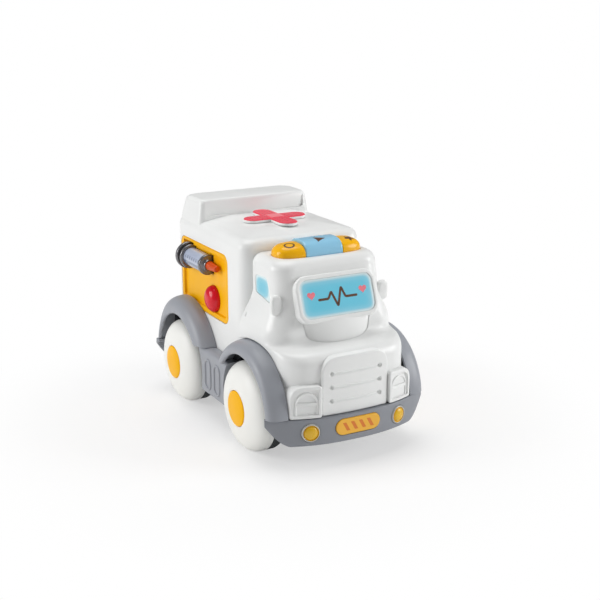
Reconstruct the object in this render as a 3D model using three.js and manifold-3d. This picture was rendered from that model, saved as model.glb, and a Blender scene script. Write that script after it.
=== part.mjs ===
// Toy ambulance, millimetres. The front faces -Y, the car's left side is +X and the ground is Z = 0.
import * as THREE from "three";
import { mergeVertices } from "three/addons/utils/BufferGeometryUtils.js";
import Module from "manifold-3d";

const wasm = await Module();
wasm.setup();

// Whole car
const bodyHalfWidth = 43;
const wall = 2.4;
const gap = 0.3;
const frontOverhang = 50;
const rearOverhang = 40;

// Wheels and axles
const wheelRadius = 28.6;
const wheelReach = 15.4;
const wheelWidth = 22;
const wheelFacets = 18;
const treadWidth = 8.4;
const rimWall = 3;
const hubRadius = 7;
const capRadius = 11.2;
const capRecess = 2.3;
const capDome = 1.2;
const capWeb = 2.2;
const axleRadius = 2;
const axleClearance = 0.3;

// Wheel arches
const archClearance = 4.9;
const frontArchDepth = 8.5;
const rearArchDepth = 11.9;
const frontArchFoot = 8;
const rearArchFoot = 3.6;
const fenderReach = 12.2;
const fenderThickness = 2.8;

// Chassis tray and side steps; a rise is measured up from the axles and a drop down from them
const floorDrop = 14;
const floorThickness = 2.6;
const trayRise = 10;
const trayWall = 2.2;
const wellDepth = 8;
const wellWall = 2;
const stepReach = 8;
const stepRise = 20;
const stepDrop = 12;
const shellRise = 4;
const postHeight = 14;
const postRadius = 4;

// Box body
const rearReach = 16;
const boxLength = 106;
const boxRoofRise = 100;
const roofCrown = 2.5;
const boxCornerRadius = 8.4;
const boxRoofRadius = 7;
const humpLength = 39;
const humpHeight = 14;
const humpInset = 0.8;
const dividerRise = 17;

// Cab
const cabLength = 62.7;
const cabInset = 6.2;
const cabRoofRise = 92.5;
const cabRoofRadius = 6.5;
const hoodSetback = 5;
const hoodRise = 42;
const hoodEdgeRadius = 8;
const hoodCornerRadius = 15;
const hoodBow = 5;
const cabCornerRadius = 12;
const cabLean = THREE.MathUtils.degToRad(12.5);
const cabFootSetback = 25.8;
const cabFootReach = 5;
const cabShelf = 0.8;
const cabFilletRadius = 9;
const shoulderReach = 4.1;
const shoulderRise = 45.4;
const shoulderHeight = 26;
const chinReach = 4.5;
const grilleHalfWidth = 23;
const grilleRise = 40.4;
const grilleProud = 2.2;
const slatGroove = 1.6;
const lampInset = 0.4;
const lampRise = 24.2;
const lampCorner = 11;
const mirrorSetback = 4.2;
const mirrorDrop = 25.4;
const mirrorHalfHeight = 6.2;
const mirrorHalfDepth = 2.8;
const windowSetback = 5.7;
const windowDrop = 11.9;
const windowHeight = 12.2;
const windowTopLength = 13.4;
const windowFootLength = 20.4;

// Windscreen
const screenTilt = THREE.MathUtils.degToRad(19.8);
const screenSideInset = 11.8;
const screenHeight = 23;
const screenCorner = 5;
const screenRim = 3;
const screenThickness = 1.6;
const screenInset = 0.6;
const screenForward = 5;
const screenDrop = 21.9;

// Bumpers
const bumperRise = 3.7;
const bumperDrop = 13;
const bumperEndReach = 13;
const bumperSag = 15;
const bumperWall = 3;
const bumperReach = 15;
const bumperTaper = 14;
const bumperTipHeight = 4;
const rearBumperSag = 3.6;
const rearBumperRise = 7;
const rearBumperDrop = 10;
const bumperLampX = 31;
const bumperLampRadius = 5.8;
const plateHalfWidth = 15.5;
const plateHalfHeight = 5.2;
const plateThickness = 1.4;

// Roof keys
const keySetback = 15.1;
const keyHalfDepth = 11;
const keyHeight = 9;
const keyEndHeight = 7.4;
const keySplitX = 13;
const keyEndInset = 7.2;
const keyClearance = 0.4;
const keyTravel = 2.4;
const flangeReach = 1.1;
const wingLength = 10;
const flangeThickness = 1.2;
const stemRadius = 2.2;
const stemLength = 1.6;
const domeRadius = 4;
const domeHeight = 3.2;
const boardThickness = 1.4;
const boardHalfDepth = 8;

// Play panel on the side of the box
const panelSetback = 22.8;
const panelClearance = 4.5;
const panelHeight = 46;
const panelCorner = 6;
const panelRim = 3.4;
const panelRecess = 1.8;
const panelFlange = 1.2;
const buttonRadius = 8.9;
const buttonDome = 6;
const buttonSetback = 24.9;
const buttonRise = 12;
const buttonPostSpread = 13.4;
const buttonPostRadius = 2.4;

// Syringe, half sunk in the panel
const syringeReach = 1.2;
const syringeDrop = 11.3;
const syringeTailSetback = 21.3;
const nozzleSetback = 12.9;
const nozzleLength = 12;
const nozzleRadius = 2.9;
const collarRadius = 6.9;
const collarLength = 4.2;
const barrelRadius = 6.4;
const barrelBore = 5.1;
const flangeRingRadius = 8.4;
const flangeRingLength = 2.4;
const thumbRadius = 9.2;
const thumbLength = 3;
const thumbGap = 2.6;
const plungerPull = 8;
const rodRadius = 2.4;
const pistonLength = 3.4;
const troughWall = 1.6;

// Roof emblem
const emblemFrontMargin = 15.5;
const emblemRearMargin = 2.5;
const emblemHalfWidth = 22;
const emblemBand = 6.4;
const emblemThickness = 2.2;
const emblemPad = 5;
const emblemPadRise = 0.5;

// Inside
const cellRadius = 7.2;
const cellLength = 50.4;
const bayHalfWidth = 27;
const bayLength = 37;
const bayHeight = 18.5;
const bayScrewInset = 4;
const speakerRadius = 18;
const speakerHeight = 11.6;
const screwShank = 1.6;
const screwHead = 3.4;
const screwX = 26;
const screwLength = 22;
const screwSink = 3.4;
const coverScrewLength = 12;
const switchTravel = 7;
const switchPlateHalf = 8;
const switchPlateThickness = 1.2;
const switchHalfDepth = 6;
const switchHeight = 6;
const switchFoot = 2.6;
const knobHalfWidth = 3.4;
const knobHalfDepth = 3;
const mainBoardInset = 3;
const chipHalf = 6;
const chipHeight = 1.4;
const canRadius = 3;
const canHeight = 8;

// Levels and stations that follow from the sizes above
const overallLength = hoodSetback + cabLength + gap + boxLength + rearReach;
const bumperFrontY = -overallLength / 2;
const bumperRearY = overallLength / 2;
const frontAxleY = bumperFrontY + frontOverhang;
const rearAxleY = bumperRearY - rearOverhang;
const axleZ = wheelRadius;
const archRadius = wheelRadius + archClearance;
const wheelFaceX = bodyHalfWidth + wheelReach;
const clearX = wheelFaceX + 12;
const fenderLipX = bodyHalfWidth + fenderReach;
const chassisFloorZ = axleZ - floorDrop;
const floorTopZ = chassisFloorZ + floorThickness;
const trayTopZ = axleZ + trayRise;
const trayInset = wall + gap;
const wellX = bodyHalfWidth - wellDepth;
const wellTopZ = axleZ + archRadius + wellWall;
const stepReachX = bodyHalfWidth + stepReach;
const stepTopZ = axleZ + stepRise;
const stepBottomZ = axleZ - stepDrop;
const shellBottomZ = axleZ + shellRise;
const postTopZ = chassisFloorZ + postHeight;
const hoodFrontY = bumperFrontY + hoodSetback;
const hoodTopZ = axleZ + hoodRise;
const cabRearY = hoodFrontY + cabLength;
const cabHalfWidth = bodyHalfWidth - cabInset;
const cabRoofZ = axleZ + cabRoofRise;
const cabFootY = hoodFrontY + cabFootSetback;
const shoulderLowZ = axleZ + shoulderRise;
const boxFrontY = cabRearY + gap;
const boxRearY = boxFrontY + boxLength;
const boxRoofZ = axleZ + boxRoofRise;
const roofTopZ = boxRoofZ + roofCrown;
const humpFrontY = boxRearY - humpLength;
const dividerBottomZ = axleZ + dividerRise;
const grilleTopZ = axleZ + grilleRise;
const lampInnerX = grilleHalfWidth + 2 * gap;
const lampOuterX = bodyHalfWidth - lampInset;
const lampTopZ = axleZ + lampRise;
const screenWidth = 2 * (cabHalfWidth - screenSideInset);
const chinHalfWidth = screenWidth / 2;
const leanFootZ = hoodTopZ + cabShelf + cabFilletRadius * (1 - Math.sin(cabLean));
const cabFrontAt = (z) => cabFootY - cabFootReach + Math.tan(cabLean) * (z - leanFootZ);
const screenMidZ = cabRoofZ - screenDrop;
const screenMidY = cabFrontAt(screenMidZ) - screenForward;
const bumperHalfWidth = bodyHalfWidth + bumperEndReach;
const bumperTopZ = axleZ + bumperRise;
const bumperBottomZ = axleZ - bumperDrop;
const rearBumperTopZ = axleZ + rearBumperRise;
const rearBumperBottomZ = axleZ - rearBumperDrop;
const keyMidY = cabRearY - keySetback;
const keyEndX = cabHalfWidth - keyEndInset;
const keyFlangeZ = cabRoofZ - wall - gap - flangeThickness;
const stemBottomZ = keyFlangeZ - stemLength;
const keyBoardZ = stemBottomZ - 2 * gap - domeHeight - boardThickness;
const panelFrontY = boxFrontY + panelSetback;
const panelRearY = boxRearY - boxCornerRadius - gap;
const panelBottomZ = wellTopZ + panelClearance;
const panelTopZ = panelBottomZ + panelHeight;
const panelMidY = (panelFrontY + panelRearY) / 2;
const panelMidZ = (panelBottomZ + panelTopZ) / 2;
const panelFloorX = bodyHalfWidth - panelRecess;
const panelBackX = bodyHalfWidth - wall - gap - flangeThickness;
const buttonY = panelFrontY + buttonSetback;
const buttonZ = panelBottomZ + buttonRise;
const buttonBoardX = panelBackX - gap - flangeThickness - stemLength - 2 * gap - domeHeight - boardThickness;
const syringeX = bodyHalfWidth + syringeReach;
const syringeZ = panelTopZ - syringeDrop;
const nozzleTipY = panelFrontY + nozzleSetback;
const collarFrontY = nozzleTipY + nozzleLength + gap;
const barrelFrontY = collarFrontY + collarLength + gap;
const barrelRearY = panelRearY - syringeTailSetback;
const thumbFrontY = barrelRearY + gap + flangeRingLength + thumbGap;
const thumbRearY = thumbFrontY + thumbLength;
const plungerPush = thumbGap - gap;
const bayFrontY = frontAxleY + axleRadius + bayScrewInset;
const bayRearY = bayFrontY + bayLength;
const bayTopZ = chassisFloorZ + bayHeight;
const bayScrewY = bayRearY - bayScrewInset;
const speakerY = bayRearY + trayWall + speakerRadius + 4 * gap;
const switchY = speakerY + speakerRadius + 8;
const screwFrontY = hoodFrontY + 14;
const screwRearY = boxRearY - 9;

// Finishes
const finish = (color, roughness, metalness = 0) => new THREE.MeshStandardMaterial({ color, roughness, metalness });
const white = finish(0xf1f2f0, 0.35);
const ivory = finish(0xecebe4, 0.4);
const grey = finish(0x8b8f97, 0.45);
const amber = finish(0xf6b41c, 0.35);
const red = finish(0xd71f33, 0.25);
const coral = finish(0xe8455a, 0.4);
const skyBlue = finish(0x7fcbe4, 0.25);
const keyBlue = finish(0x96cdea, 0.3);
const orange = finish(0xdc5a18, 0.4);
const smoke = finish(0x9aa4b8, 0.2);
const darkRubber = finish(0x3c4042, 0.75);
const darkGlossy = finish(0x3a3d46, 0.25);
const steel = finish(0xb9bcc0, 0.3, 1);
const boardGreen = finish(0x1f6b3c, 0.5);
const rubber = finish(0xc8ccc8, 0.7);
const cellJacket = finish(0x3f6f4e, 0.4);
const ochre = finish(0xcfa437, 0.35);

// A closed geometry as a solid that can be joined and cut.
function solid(geometry) {
  const bare = geometry.index ? geometry.toNonIndexed() : geometry.clone();
  for (const name of Object.keys(bare.attributes)) {
    if (name !== "position") bare.deleteAttribute(name);
  }
  const merged = mergeVertices(bare, 1e-4);
  const triVerts = new Uint32Array(merged.index.array);
  return new wasm.Manifold(new wasm.Mesh({ numProp: 3, vertProperties: merged.attributes.position.array, triVerts }));
}

const join = (...shapes) => shapes.reduce((whole, piece) => whole.add(piece));
const cut = (whole, ...tools) => tools.reduce((rest, tool) => rest.subtract(tool), whole);

// Closed geometry through sections of equal point count; place(i, a, b) puts a section's point in space.
function loft(sections, place) {
  const count = sections[0].length;
  const points = sections.flatMap((section, i) => section.map(([a, b]) => place(i, a, b)));
  const index = [];
  for (let i = 0; i < sections.length - 1; i++) {
    for (let j = 0; j < count; j++) {
      const k = (j + 1) % count;
      const [p, q, s, t] = [i * count + j, i * count + k, (i + 1) * count + k, (i + 1) * count + j];
      index.push(p, q, s, p, s, t);
    }
  }
  const last = sections.length - 1;
  for (const [a, b, c] of capTriangles(sections[0])) index.push(a, c, b);
  for (const [a, b, c] of capTriangles(sections[last])) index.push(...[a, b, c].map((v) => v + last * count));
  if (signedVolume(points, index) < 0) index.reverse();
  const geometry = new THREE.BufferGeometry().setFromPoints(points);
  geometry.setIndex(index);
  return geometry;
}

// Triangles of a flat outline, wound the way the outline runs; a hair of bulge keeps every point of a straight run.
function capTriangles(section) {
  const points = section.map(([a, b]) => new THREE.Vector2(a, b));
  const middle = points.reduce((sum, p) => sum.add(p), new THREE.Vector2()).divideScalar(points.length);
  const bulge = 1e-7;
  const contour = points.map((p) => {
    const away = p.clone().sub(middle);
    return away.multiplyScalar(1 - bulge * away.lengthSq());
  });
  const turn = Math.sign(THREE.ShapeUtils.area(contour));
  return THREE.ShapeUtils.triangulateShape(contour, []).map(([a, b, c]) => {
    const area = THREE.ShapeUtils.area([contour[a], contour[b], contour[c]]);
    return Math.sign(area) === turn ? [a, b, c] : [a, c, b];
  });
}

function signedVolume(points, index) {
  let sum = 0;
  for (let i = 0; i < index.length; i += 3) {
    const [a, b, c] = [points[index[i]], points[index[i + 1]], points[index[i + 2]]];
    sum += a.dot(new THREE.Vector3().crossVectors(b, c));
  }
  return sum;
}

const atZ = (levels) => (i, a, b) => new THREE.Vector3(a, b, levels[i]);
const atX = (levels) => (i, a, b) => new THREE.Vector3(levels[i], a, b);
const atY = (levels) => (i, a, b) => new THREE.Vector3(a, levels[i], b);

function boxSolid(x0, x1, y0, y1, z0, z1) {
  const geometry = new THREE.BoxGeometry(x1 - x0, y1 - y0, z1 - z0);
  return solid(geometry.translate((x0 + x1) / 2, (y0 + y1) / 2, (z0 + z1) / 2));
}

// Turned solid from a profile of (radius, height) pairs that starts and ends on the axis or closes on itself.
function turned(profile, segments = 24) {
  const points = profile.map(([r, h]) => new THREE.Vector2(r, h));
  return new THREE.LatheGeometry(points, segments);
}

const alongX = (geometry, side = 1) => geometry.rotateZ(side > 0 ? -Math.PI / 2 : Math.PI / 2);
const alongZ = (geometry) => geometry.rotateX(Math.PI / 2);

function rodX(radius, x0, x1, y, z, segments = 16) {
  const profile = [[0, x0], [radius, x0], [radius, x1], [0, x1]];
  return solid(alongX(turned(profile, segments)).translate(0, y, z));
}

function rodY(radius, y0, y1, x, z, segments = 20) {
  return solid(turned([[0, y0], [radius, y0], [radius, y1], [0, y1]], segments).translate(x, 0, z));
}

function rodZ(radius, z0, z1, x, y, segments = 12) {
  return solid(alongZ(turned([[0, z0], [radius, z0], [radius, z1], [0, z1]], segments)).translate(x, y, 0));
}

// Rounded rectangle about the origin, counter-clockwise.
function roundedRect(halfA, halfB, radius, steps = 4) {
  const points = [];
  const corners = [[1, 1, 0], [-1, 1, 1], [-1, -1, 2], [1, -1, 3]];
  for (const [sa, sb, quarter] of corners) {
    for (let k = 0; k <= steps; k++) {
      const angle = (quarter + k / steps) * Math.PI / 2;
      const a = sa * (halfA - radius) + radius * Math.cos(angle);
      const b = sb * (halfB - radius) + radius * Math.sin(angle);
      points.push([a, b]);
    }
  }
  return points;
}

// Plan outline of the body: straight sides, rounded corners and a front edge bowed forward in the middle.
function planSection({ halfWidth, front, rear, frontRadius, rearRadius, bow = 0, facets = 4 }) {
  const points = [];
  const corner = (sx, sy, radius, quarter) => {
    const edge = sy > 0 ? rear : front;
    for (let k = 0; k <= facets; k++) {
      const angle = (quarter + k / facets) * Math.PI / 2;
      const x = sx * (halfWidth - radius) + radius * Math.cos(angle);
      points.push([x, edge - sy * radius + radius * Math.sin(angle)]);
    }
  };
  corner(1, 1, rearRadius, 0);
  corner(-1, 1, rearRadius, 1);
  corner(-1, -1, frontRadius, 2);
  for (const share of [-0.5, 0, 0.5]) points.push([share * (halfWidth - frontRadius), front]);
  corner(1, -1, frontRadius, 3);
  return points.map(([x, y]) => [x, y + bow * (x / halfWidth) ** 2 * (rear - y) / (rear - front)]);
}

const steps = (n) => Array.from({ length: n + 1 }, (_, k) => k / n);
const smooth = (t) => {
  const c = THREE.MathUtils.clamp(t, 0, 1);
  return c * c * (3 - 2 * c);
};

const wheelPlaces = [[1, frontAxleY], [-1, frontAxleY], [1, rearAxleY], [-1, rearAxleY]];

// Wheel space: a cylinder about an axle on one side, from a given distance outward.
function wheelSpace(side, axleY, radius, fromX) {
  const [x0, x1] = side > 0 ? [fromX, clearX] : [-clearX, -fromX];
  return rodX(radius, x0, x1, axleY, axleZ, wheelFacets);
}

function wheelSpaces(radius, fromX) {
  return wheelPlaces.map(([side, axleY]) => wheelSpace(side, axleY, radius, fromX));
}

// Box body: rounded block with a crowned roof; offset grows or shrinks it.
function boxBlock(offset, bottomZ, frontY) {
  const stations = [{ z: bottomZ, inset: 0 }];
  for (const t of steps(3)) {
    const angle = t * Math.PI / 2;
    const inset = boxRoofRadius * (1 - Math.cos(angle));
    stations.push({ z: boxRoofZ + offset - boxRoofRadius * (1 - Math.sin(angle)), inset });
  }
  stations.push({ z: boxRoofZ + offset + roofCrown * 0.72, inset: bodyHalfWidth * 0.42 });
  stations.push({ z: boxRoofZ + offset + roofCrown, inset: bodyHalfWidth * 0.62 });
  const sections = stations.map(({ inset }) => planSection({
    halfWidth: bodyHalfWidth + offset - inset,
    front: frontY - offset + inset,
    rear: boxRearY + offset - inset,
    frontRadius: Math.max(boxCornerRadius + offset - inset * 0.6, 2),
    rearRadius: Math.max(boxCornerRadius + offset - inset * 0.6, 2),
    facets: 3,
  }));
  return solid(loft(sections, atZ(stations.map(({ z }) => z))));
}

// Raised rear section of the roof, with a finger recess across its front between two cheeks.
function humpBlock(offset) {
  const bottomZ = boxRoofZ - 6;
  const topZ = boxRoofZ + humpHeight + offset;
  const levels = [bottomZ, topZ - 4, topZ - 1.2, topZ];
  const insets = [0, 2, 2.9, 5];
  const sections = insets.map((inset) => planSection({
    halfWidth: bodyHalfWidth - humpInset + offset - inset,
    front: humpFrontY - offset + inset * 0.8,
    rear: boxRearY - humpInset + offset - inset * 2.2,
    frontRadius: 4 + offset,
    rearRadius: 8 + offset,
    facets: offset < 0 ? 1 : 3,
  }));
  return solid(loft(sections, atZ(levels)));
}

function humpRecess() {
  const half = bodyHalfWidth - 6;
  return boxSolid(-half, half, humpFrontY - 5, humpFrontY + 2.2, roofTopZ + 0.6, boxRoofZ + humpHeight + 5);
}

function panelOutline(grow) {
  return roundedRect((panelRearY - panelFrontY) / 2 + grow, panelHeight / 2 + grow, panelCorner + grow, 3);
}

function panelPrism(side, grow, x0, x1) {
  const outline = panelOutline(grow).map(([a, b]) => [a + panelMidY, b + panelMidZ]);
  return solid(loft([outline, outline], atX([side * x0, side * x1])));
}

// Door lines and handles moulded on the rear wall.
function rearDoorLines() {
  const y0 = boxRearY - 0.8;
  const y1 = boxRearY + 2;
  const [low, high] = [shellBottomZ + 14, boxRoofZ - 14];
  const half = bodyHalfWidth - 11;
  const lines = [boxSolid(-0.6, 0.6, y0, y1, low, high)];
  for (const side of [-1, 1]) {
    const [x0, x1] = side > 0 ? [half, half + 1.2] : [-half - 1.2, -half];
    lines.push(boxSolid(x0, x1, y0, y1, low, high));
  }
  for (const z of [low - 0.6, high - 0.6]) lines.push(boxSolid(-half - 1.2, half + 1.2, y0, y1, z, z + 1.2));
  return lines;
}

function boxShell() {
  const middleZ = (shellBottomZ + boxRoofZ) / 2;
  const handles = [-1, 1].map((side) => {
    const mid = side * 5;
    return boxSolid(mid - 1.4, mid + 1.4, boxRearY - 1, boxRearY + 1.8, middleZ - 6, middleZ + 6);
  });
  const postEndZ = postTopZ + 2 * postHeight;
  const posts = [-1, 1].map((side) => join(
    rodZ(postRadius, postTopZ + gap, postEndZ, side * screwX, screwRearY, 10),
    boxSolid(side * screwX - 1.2, side * screwX + 1.2, screwRearY, boxRearY - 1, trayTopZ + 1, postEndZ),
  ));
  const outer = join(boxBlock(0, shellBottomZ, boxFrontY), humpBlock(0));
  const room = join(boxBlock(-wall, chassisFloorZ, boxFrontY), humpBlock(-wall));
  const doorHalf = bodyHalfWidth - wall;
  const doorway = boxSolid(-doorHalf, doorHalf, boxFrontY - 5, boxFrontY + 12, 0, dividerBottomZ);
  const openings = [-1, 1].map((side) => panelPrism(side, gap, bodyHalfWidth - 9, bodyHalfWidth + 5));
  const trayRoom = trayBlock(gap, 0, trayTopZ + gap);
  const shell = cut(outer, humpRecess(), room, doorway, trayRoom, ...openings, ...rearDoorLines());
  const bores = [-1, 1].map((side) => rodZ(screwShank + gap, 0, postTopZ + postHeight, side * screwX, screwRearY, 8));
  const wells = wheelSpaces(archRadius + wellWall + gap, wellX - wellWall - gap);
  return cut(join(shell, ...handles, ...posts), ...bores, ...wells);
}

// Stations of the cab from its lower edge to its roof: level, half width, front edge, corner and bow.
function cabStations(offset, bottomZ) {
  const hoodY = hoodFrontY - offset;
  const hoodZ = hoodTopZ + offset;
  const roofZ = cabRoofZ + offset;
  const edgeRadius = Math.max(hoodEdgeRadius + offset, 2);
  const filletRadius = Math.max(cabFilletRadius - offset, 2);
  const footY = cabFootY - offset - filletRadius * Math.cos(cabLean) - cabFootReach;
  const profile = [[hoodY, bottomZ, 0]];
  for (const t of steps(3)) {
    const angle = t * Math.PI / 2;
    profile.push([hoodY + edgeRadius * (1 - Math.cos(angle)), hoodZ - edgeRadius * (1 - Math.sin(angle)), 0]);
  }
  for (const t of steps(3)) {
    const angle = t * (Math.PI / 2 - cabLean);
    const rise = cabShelf + filletRadius * (1 - Math.cos(angle));
    profile.push([footY + filletRadius * Math.sin(angle), hoodZ + rise, 0]);
  }
  const [baseY, baseZ] = profile[profile.length - 1];
  const leaning = (z) => baseY + Math.tan(cabLean) * (z - baseZ);
  const archZ = roofZ - cabRoofRadius;
  for (const t of [0.16, 0.32, 0.48, 0.64, 1]) {
    const z = baseZ + (archZ - baseZ) * t;
    profile.push([leaning(z), z, 0]);
  }
  for (const t of steps(3).slice(1)) {
    const angle = t * Math.PI / 2;
    const inset = cabRoofRadius * (1 - Math.cos(angle));
    profile.push([leaning(archZ) + inset, archZ + cabRoofRadius * Math.sin(angle), inset]);
  }
  return profile.map(([front, z, inset]) => {
    const high = smooth((z - shoulderLowZ) / shoulderHeight);
    const up = smooth((z - hoodZ + 1) / (cabFilletRadius + 3));
    return {
      z,
      halfWidth: THREE.MathUtils.lerp(bodyHalfWidth, cabHalfWidth, high) + offset - inset,
      front,
      radius: Math.max(THREE.MathUtils.lerp(hoodCornerRadius, cabCornerRadius, up) + offset - inset * 0.4, 2),
      bow: THREE.MathUtils.lerp(hoodBow, 0, up),
      flare: offset < 0 ? 0 : shoulderReach * (1 - high),
    };
  });
}

function cabBlock(offset, bottomZ, rearY) {
  const every = cabStations(offset, bottomZ);
  const stations = offset < 0 ? every.filter((_, i) => i % 2 === 0 || i === every.length - 1) : every;
  const spread = (y) => smooth((y - hoodFrontY - hoodCornerRadius) / (cabLength - hoodCornerRadius - 2));
  const sections = stations.map(({ halfWidth, front, radius, bow, flare }) => planSection({
    halfWidth, front, rear: rearY, frontRadius: radius, rearRadius: 1, bow, facets: offset < 0 ? 1 : 3,
  }).map(([x, y]) => [x + flare * spread(y) * Math.sign(x) * (x / halfWidth) ** 2, y]));
  return solid(loft(sections, atZ(stations.map(({ z }) => z))));
}

// Rounded cowl under the windscreen, an upright half ellipse.
function chinBlock(offset) {
  const midY = screenMidY + 8;
  const outline = steps(20).slice(1).map((t) => {
    const angle = t * Math.PI * 2;
    return [(chinHalfWidth + offset) * Math.cos(angle), midY + (chinReach + 6.4 + offset) * Math.sin(angle)];
  });
  return solid(loft([outline, outline], atZ([hoodTopZ - 6, screenMidZ - screenHeight / 2 - 1])));
}

const bowAt = (x) => hoodBow * (x / bodyHalfWidth) ** 2;

// Grille: a plate with rounded upper corners that follows the bow of the front and carries three grooves.
function grillePlate() {
  const half = grilleHalfWidth;
  const bottomZ = shellBottomZ;
  const corner = 9;
  const rise = steps(3).map((t) => t * Math.PI / 2);
  const right = rise.map((a) => [half - corner + corner * Math.cos(a), grilleTopZ - corner + corner * Math.sin(a)]);
  const left = right.map(([x, z]) => [-x, z]).reverse();
  const crown = [[half * 0.3, grilleTopZ], [-half * 0.3, grilleTopZ]];
  const foot = [[-half, bottomZ], [-half * 0.5, bottomZ], [0, bottomZ], [half * 0.5, bottomZ], [half, bottomZ]];
  const outline = [...right, ...crown, ...left, ...foot];
  const faceY = hoodFrontY - grilleProud;
  const small = outline.map(([x, z]) => [x * 0.965, bottomZ + (z - bottomZ) * 0.975]);
  const place = (i, x, z) => new THREE.Vector3(x, [hoodFrontY + 6, faceY + 0.9, faceY][i] + bowAt(x), z);
  return solid(loft([outline, outline, small], place));
}

function grilleGrooves() {
  const pitch = (grilleTopZ - shellBottomZ) / 4.2;
  const faceY = hoodFrontY - grilleProud;
  return [1, 2, 3].map((k) => {
    const z = shellBottomZ + k * pitch;
    const half = grilleHalfWidth - 2.6;
    const rows = steps(4).map((t) => -half + 2 * half * t);
    const section = [[faceY - 3, z - slatGroove], [faceY + 1.2, z - slatGroove * 0.5],
      [faceY + 1.2, z + slatGroove * 0.5], [faceY - 3, z + slatGroove]];
    return solid(loft(rows.map(() => section), (i, y, h) => new THREE.Vector3(rows[i], y + bowAt(rows[i]), h)));
  });
}

// How far the front bumper's edge lies behind its middle.
const bumperBow = (x) => bumperSag * (Math.abs(x) / bumperHalfWidth) ** 2.4;

// Lamp housing: an upright block over the bumper's edge, with a rounded outer shoulder and a nested arch.
function lampHousing(side) {
  const outline = (shrink) => {
    const inner = lampInnerX + shrink;
    const outer = lampOuterX - shrink;
    const top = lampTopZ - shrink;
    const radius = lampCorner - shrink;
    const shoulder = steps(4).map((t) => {
      const angle = t * Math.PI / 2;
      return [outer - radius + radius * Math.cos(angle), top - radius + radius * Math.sin(angle)];
    });
    return [[inner, shellBottomZ + shrink], [outer, shellBottomZ + shrink], ...shoulder, [inner, top]];
  };
  const block = (shrink, near, far) => {
    const section = outline(shrink).map(([x, z]) => [side * x, z]);
    const place = (i, x, z) => new THREE.Vector3(x, bumperFrontY + bumperBow(x) + [near, far][i], z);
    return solid(loft([section, section], place));
  };
  const groove = cut(block(2.6, -1, 1.6), block(4, -2, 2.6));
  return cut(block(0, 2 * gap, 2 * hoodCornerRadius), groove);
}

function mirror(side) {
  const outline = roundedRect(mirrorHalfDepth, mirrorHalfHeight, mirrorHalfDepth * 0.9, 2);
  const [midY, midZ] = [cabFootY + mirrorSetback, cabRoofZ - mirrorDrop];
  const levels = [-wall, 2.4, 4, 4.8];
  const scales = [0.8, 1, 0.92, 0.6];
  const sections = scales.map((s) => outline.map(([a, b]) => [a * s + midY, b * s + midZ]));
  return solid(loft(sections, atX(levels.map((v) => side * (cabHalfWidth + v)))));
}

// Side window outline on the cab, (Y, Z), with a leaning front edge and rounded corners.
function windowOutline(grow) {
  const rearY = cabRearY - windowSetback;
  const topZ = cabRoofZ - windowDrop;
  const footZ = topZ - windowHeight;
  const corners = [
    [rearY, topZ - 1], [rearY - windowTopLength, topZ], [rearY - windowFootLength, footZ], [rearY, footZ + 1],
  ];
  const middle = [rearY - windowTopLength * 0.6, (topZ + footZ) / 2];
  const points = [];
  corners.forEach((corner, i) => {
    const from = corners[(i + 3) % 4].map((v, k) => corner[k] + (v - corner[k]) * 0.2);
    const to = corners[(i + 1) % 4].map((v, k) => corner[k] + (v - corner[k]) * 0.2);
    for (const t of steps(3)) {
      points.push([0, 1].map((k) => from[k] * (1 - t) ** 2 + 2 * corner[k] * t * (1 - t) + to[k] * t ** 2));
    }
  });
  return points.map(([y, z]) => {
    const reach = Math.hypot(y - middle[0], z - middle[1]);
    return [y + grow * (y - middle[0]) / reach, z + grow * (z - middle[1]) / reach];
  });
}

function windowPrism(side, grow, x0, x1) {
  const outline = windowOutline(grow);
  return solid(loft([outline, outline], atX([side * x0, side * x1])));
}

// Plan outline of the three keys together, and of one key alone.
function keyDepth(x, grow) {
  const share = Math.min(Math.abs(x) / (keyEndX + grow), 1);
  const round = (1 - share ** 5) ** (1 / 2.6);
  return (keyHalfDepth + grow) * round;
}

function keyPlan(x0, x1, grow) {
  const rows = steps(7).map((t) => x0 + (x1 - x0) * Math.sin(t * Math.PI / 2));
  const near = rows.map((x) => [x, keyMidY - keyDepth(x, grow)]);
  const far = rows.map((x) => [x, keyMidY + keyDepth(x, grow)]).reverse();
  return [...near, ...far];
}

function keyPrism(x0, x1, grow, z0, z1) {
  const plan = keyPlan(x0, x1, grow);
  return solid(loft([plan, plan], atZ([z0, z1])));
}

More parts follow.
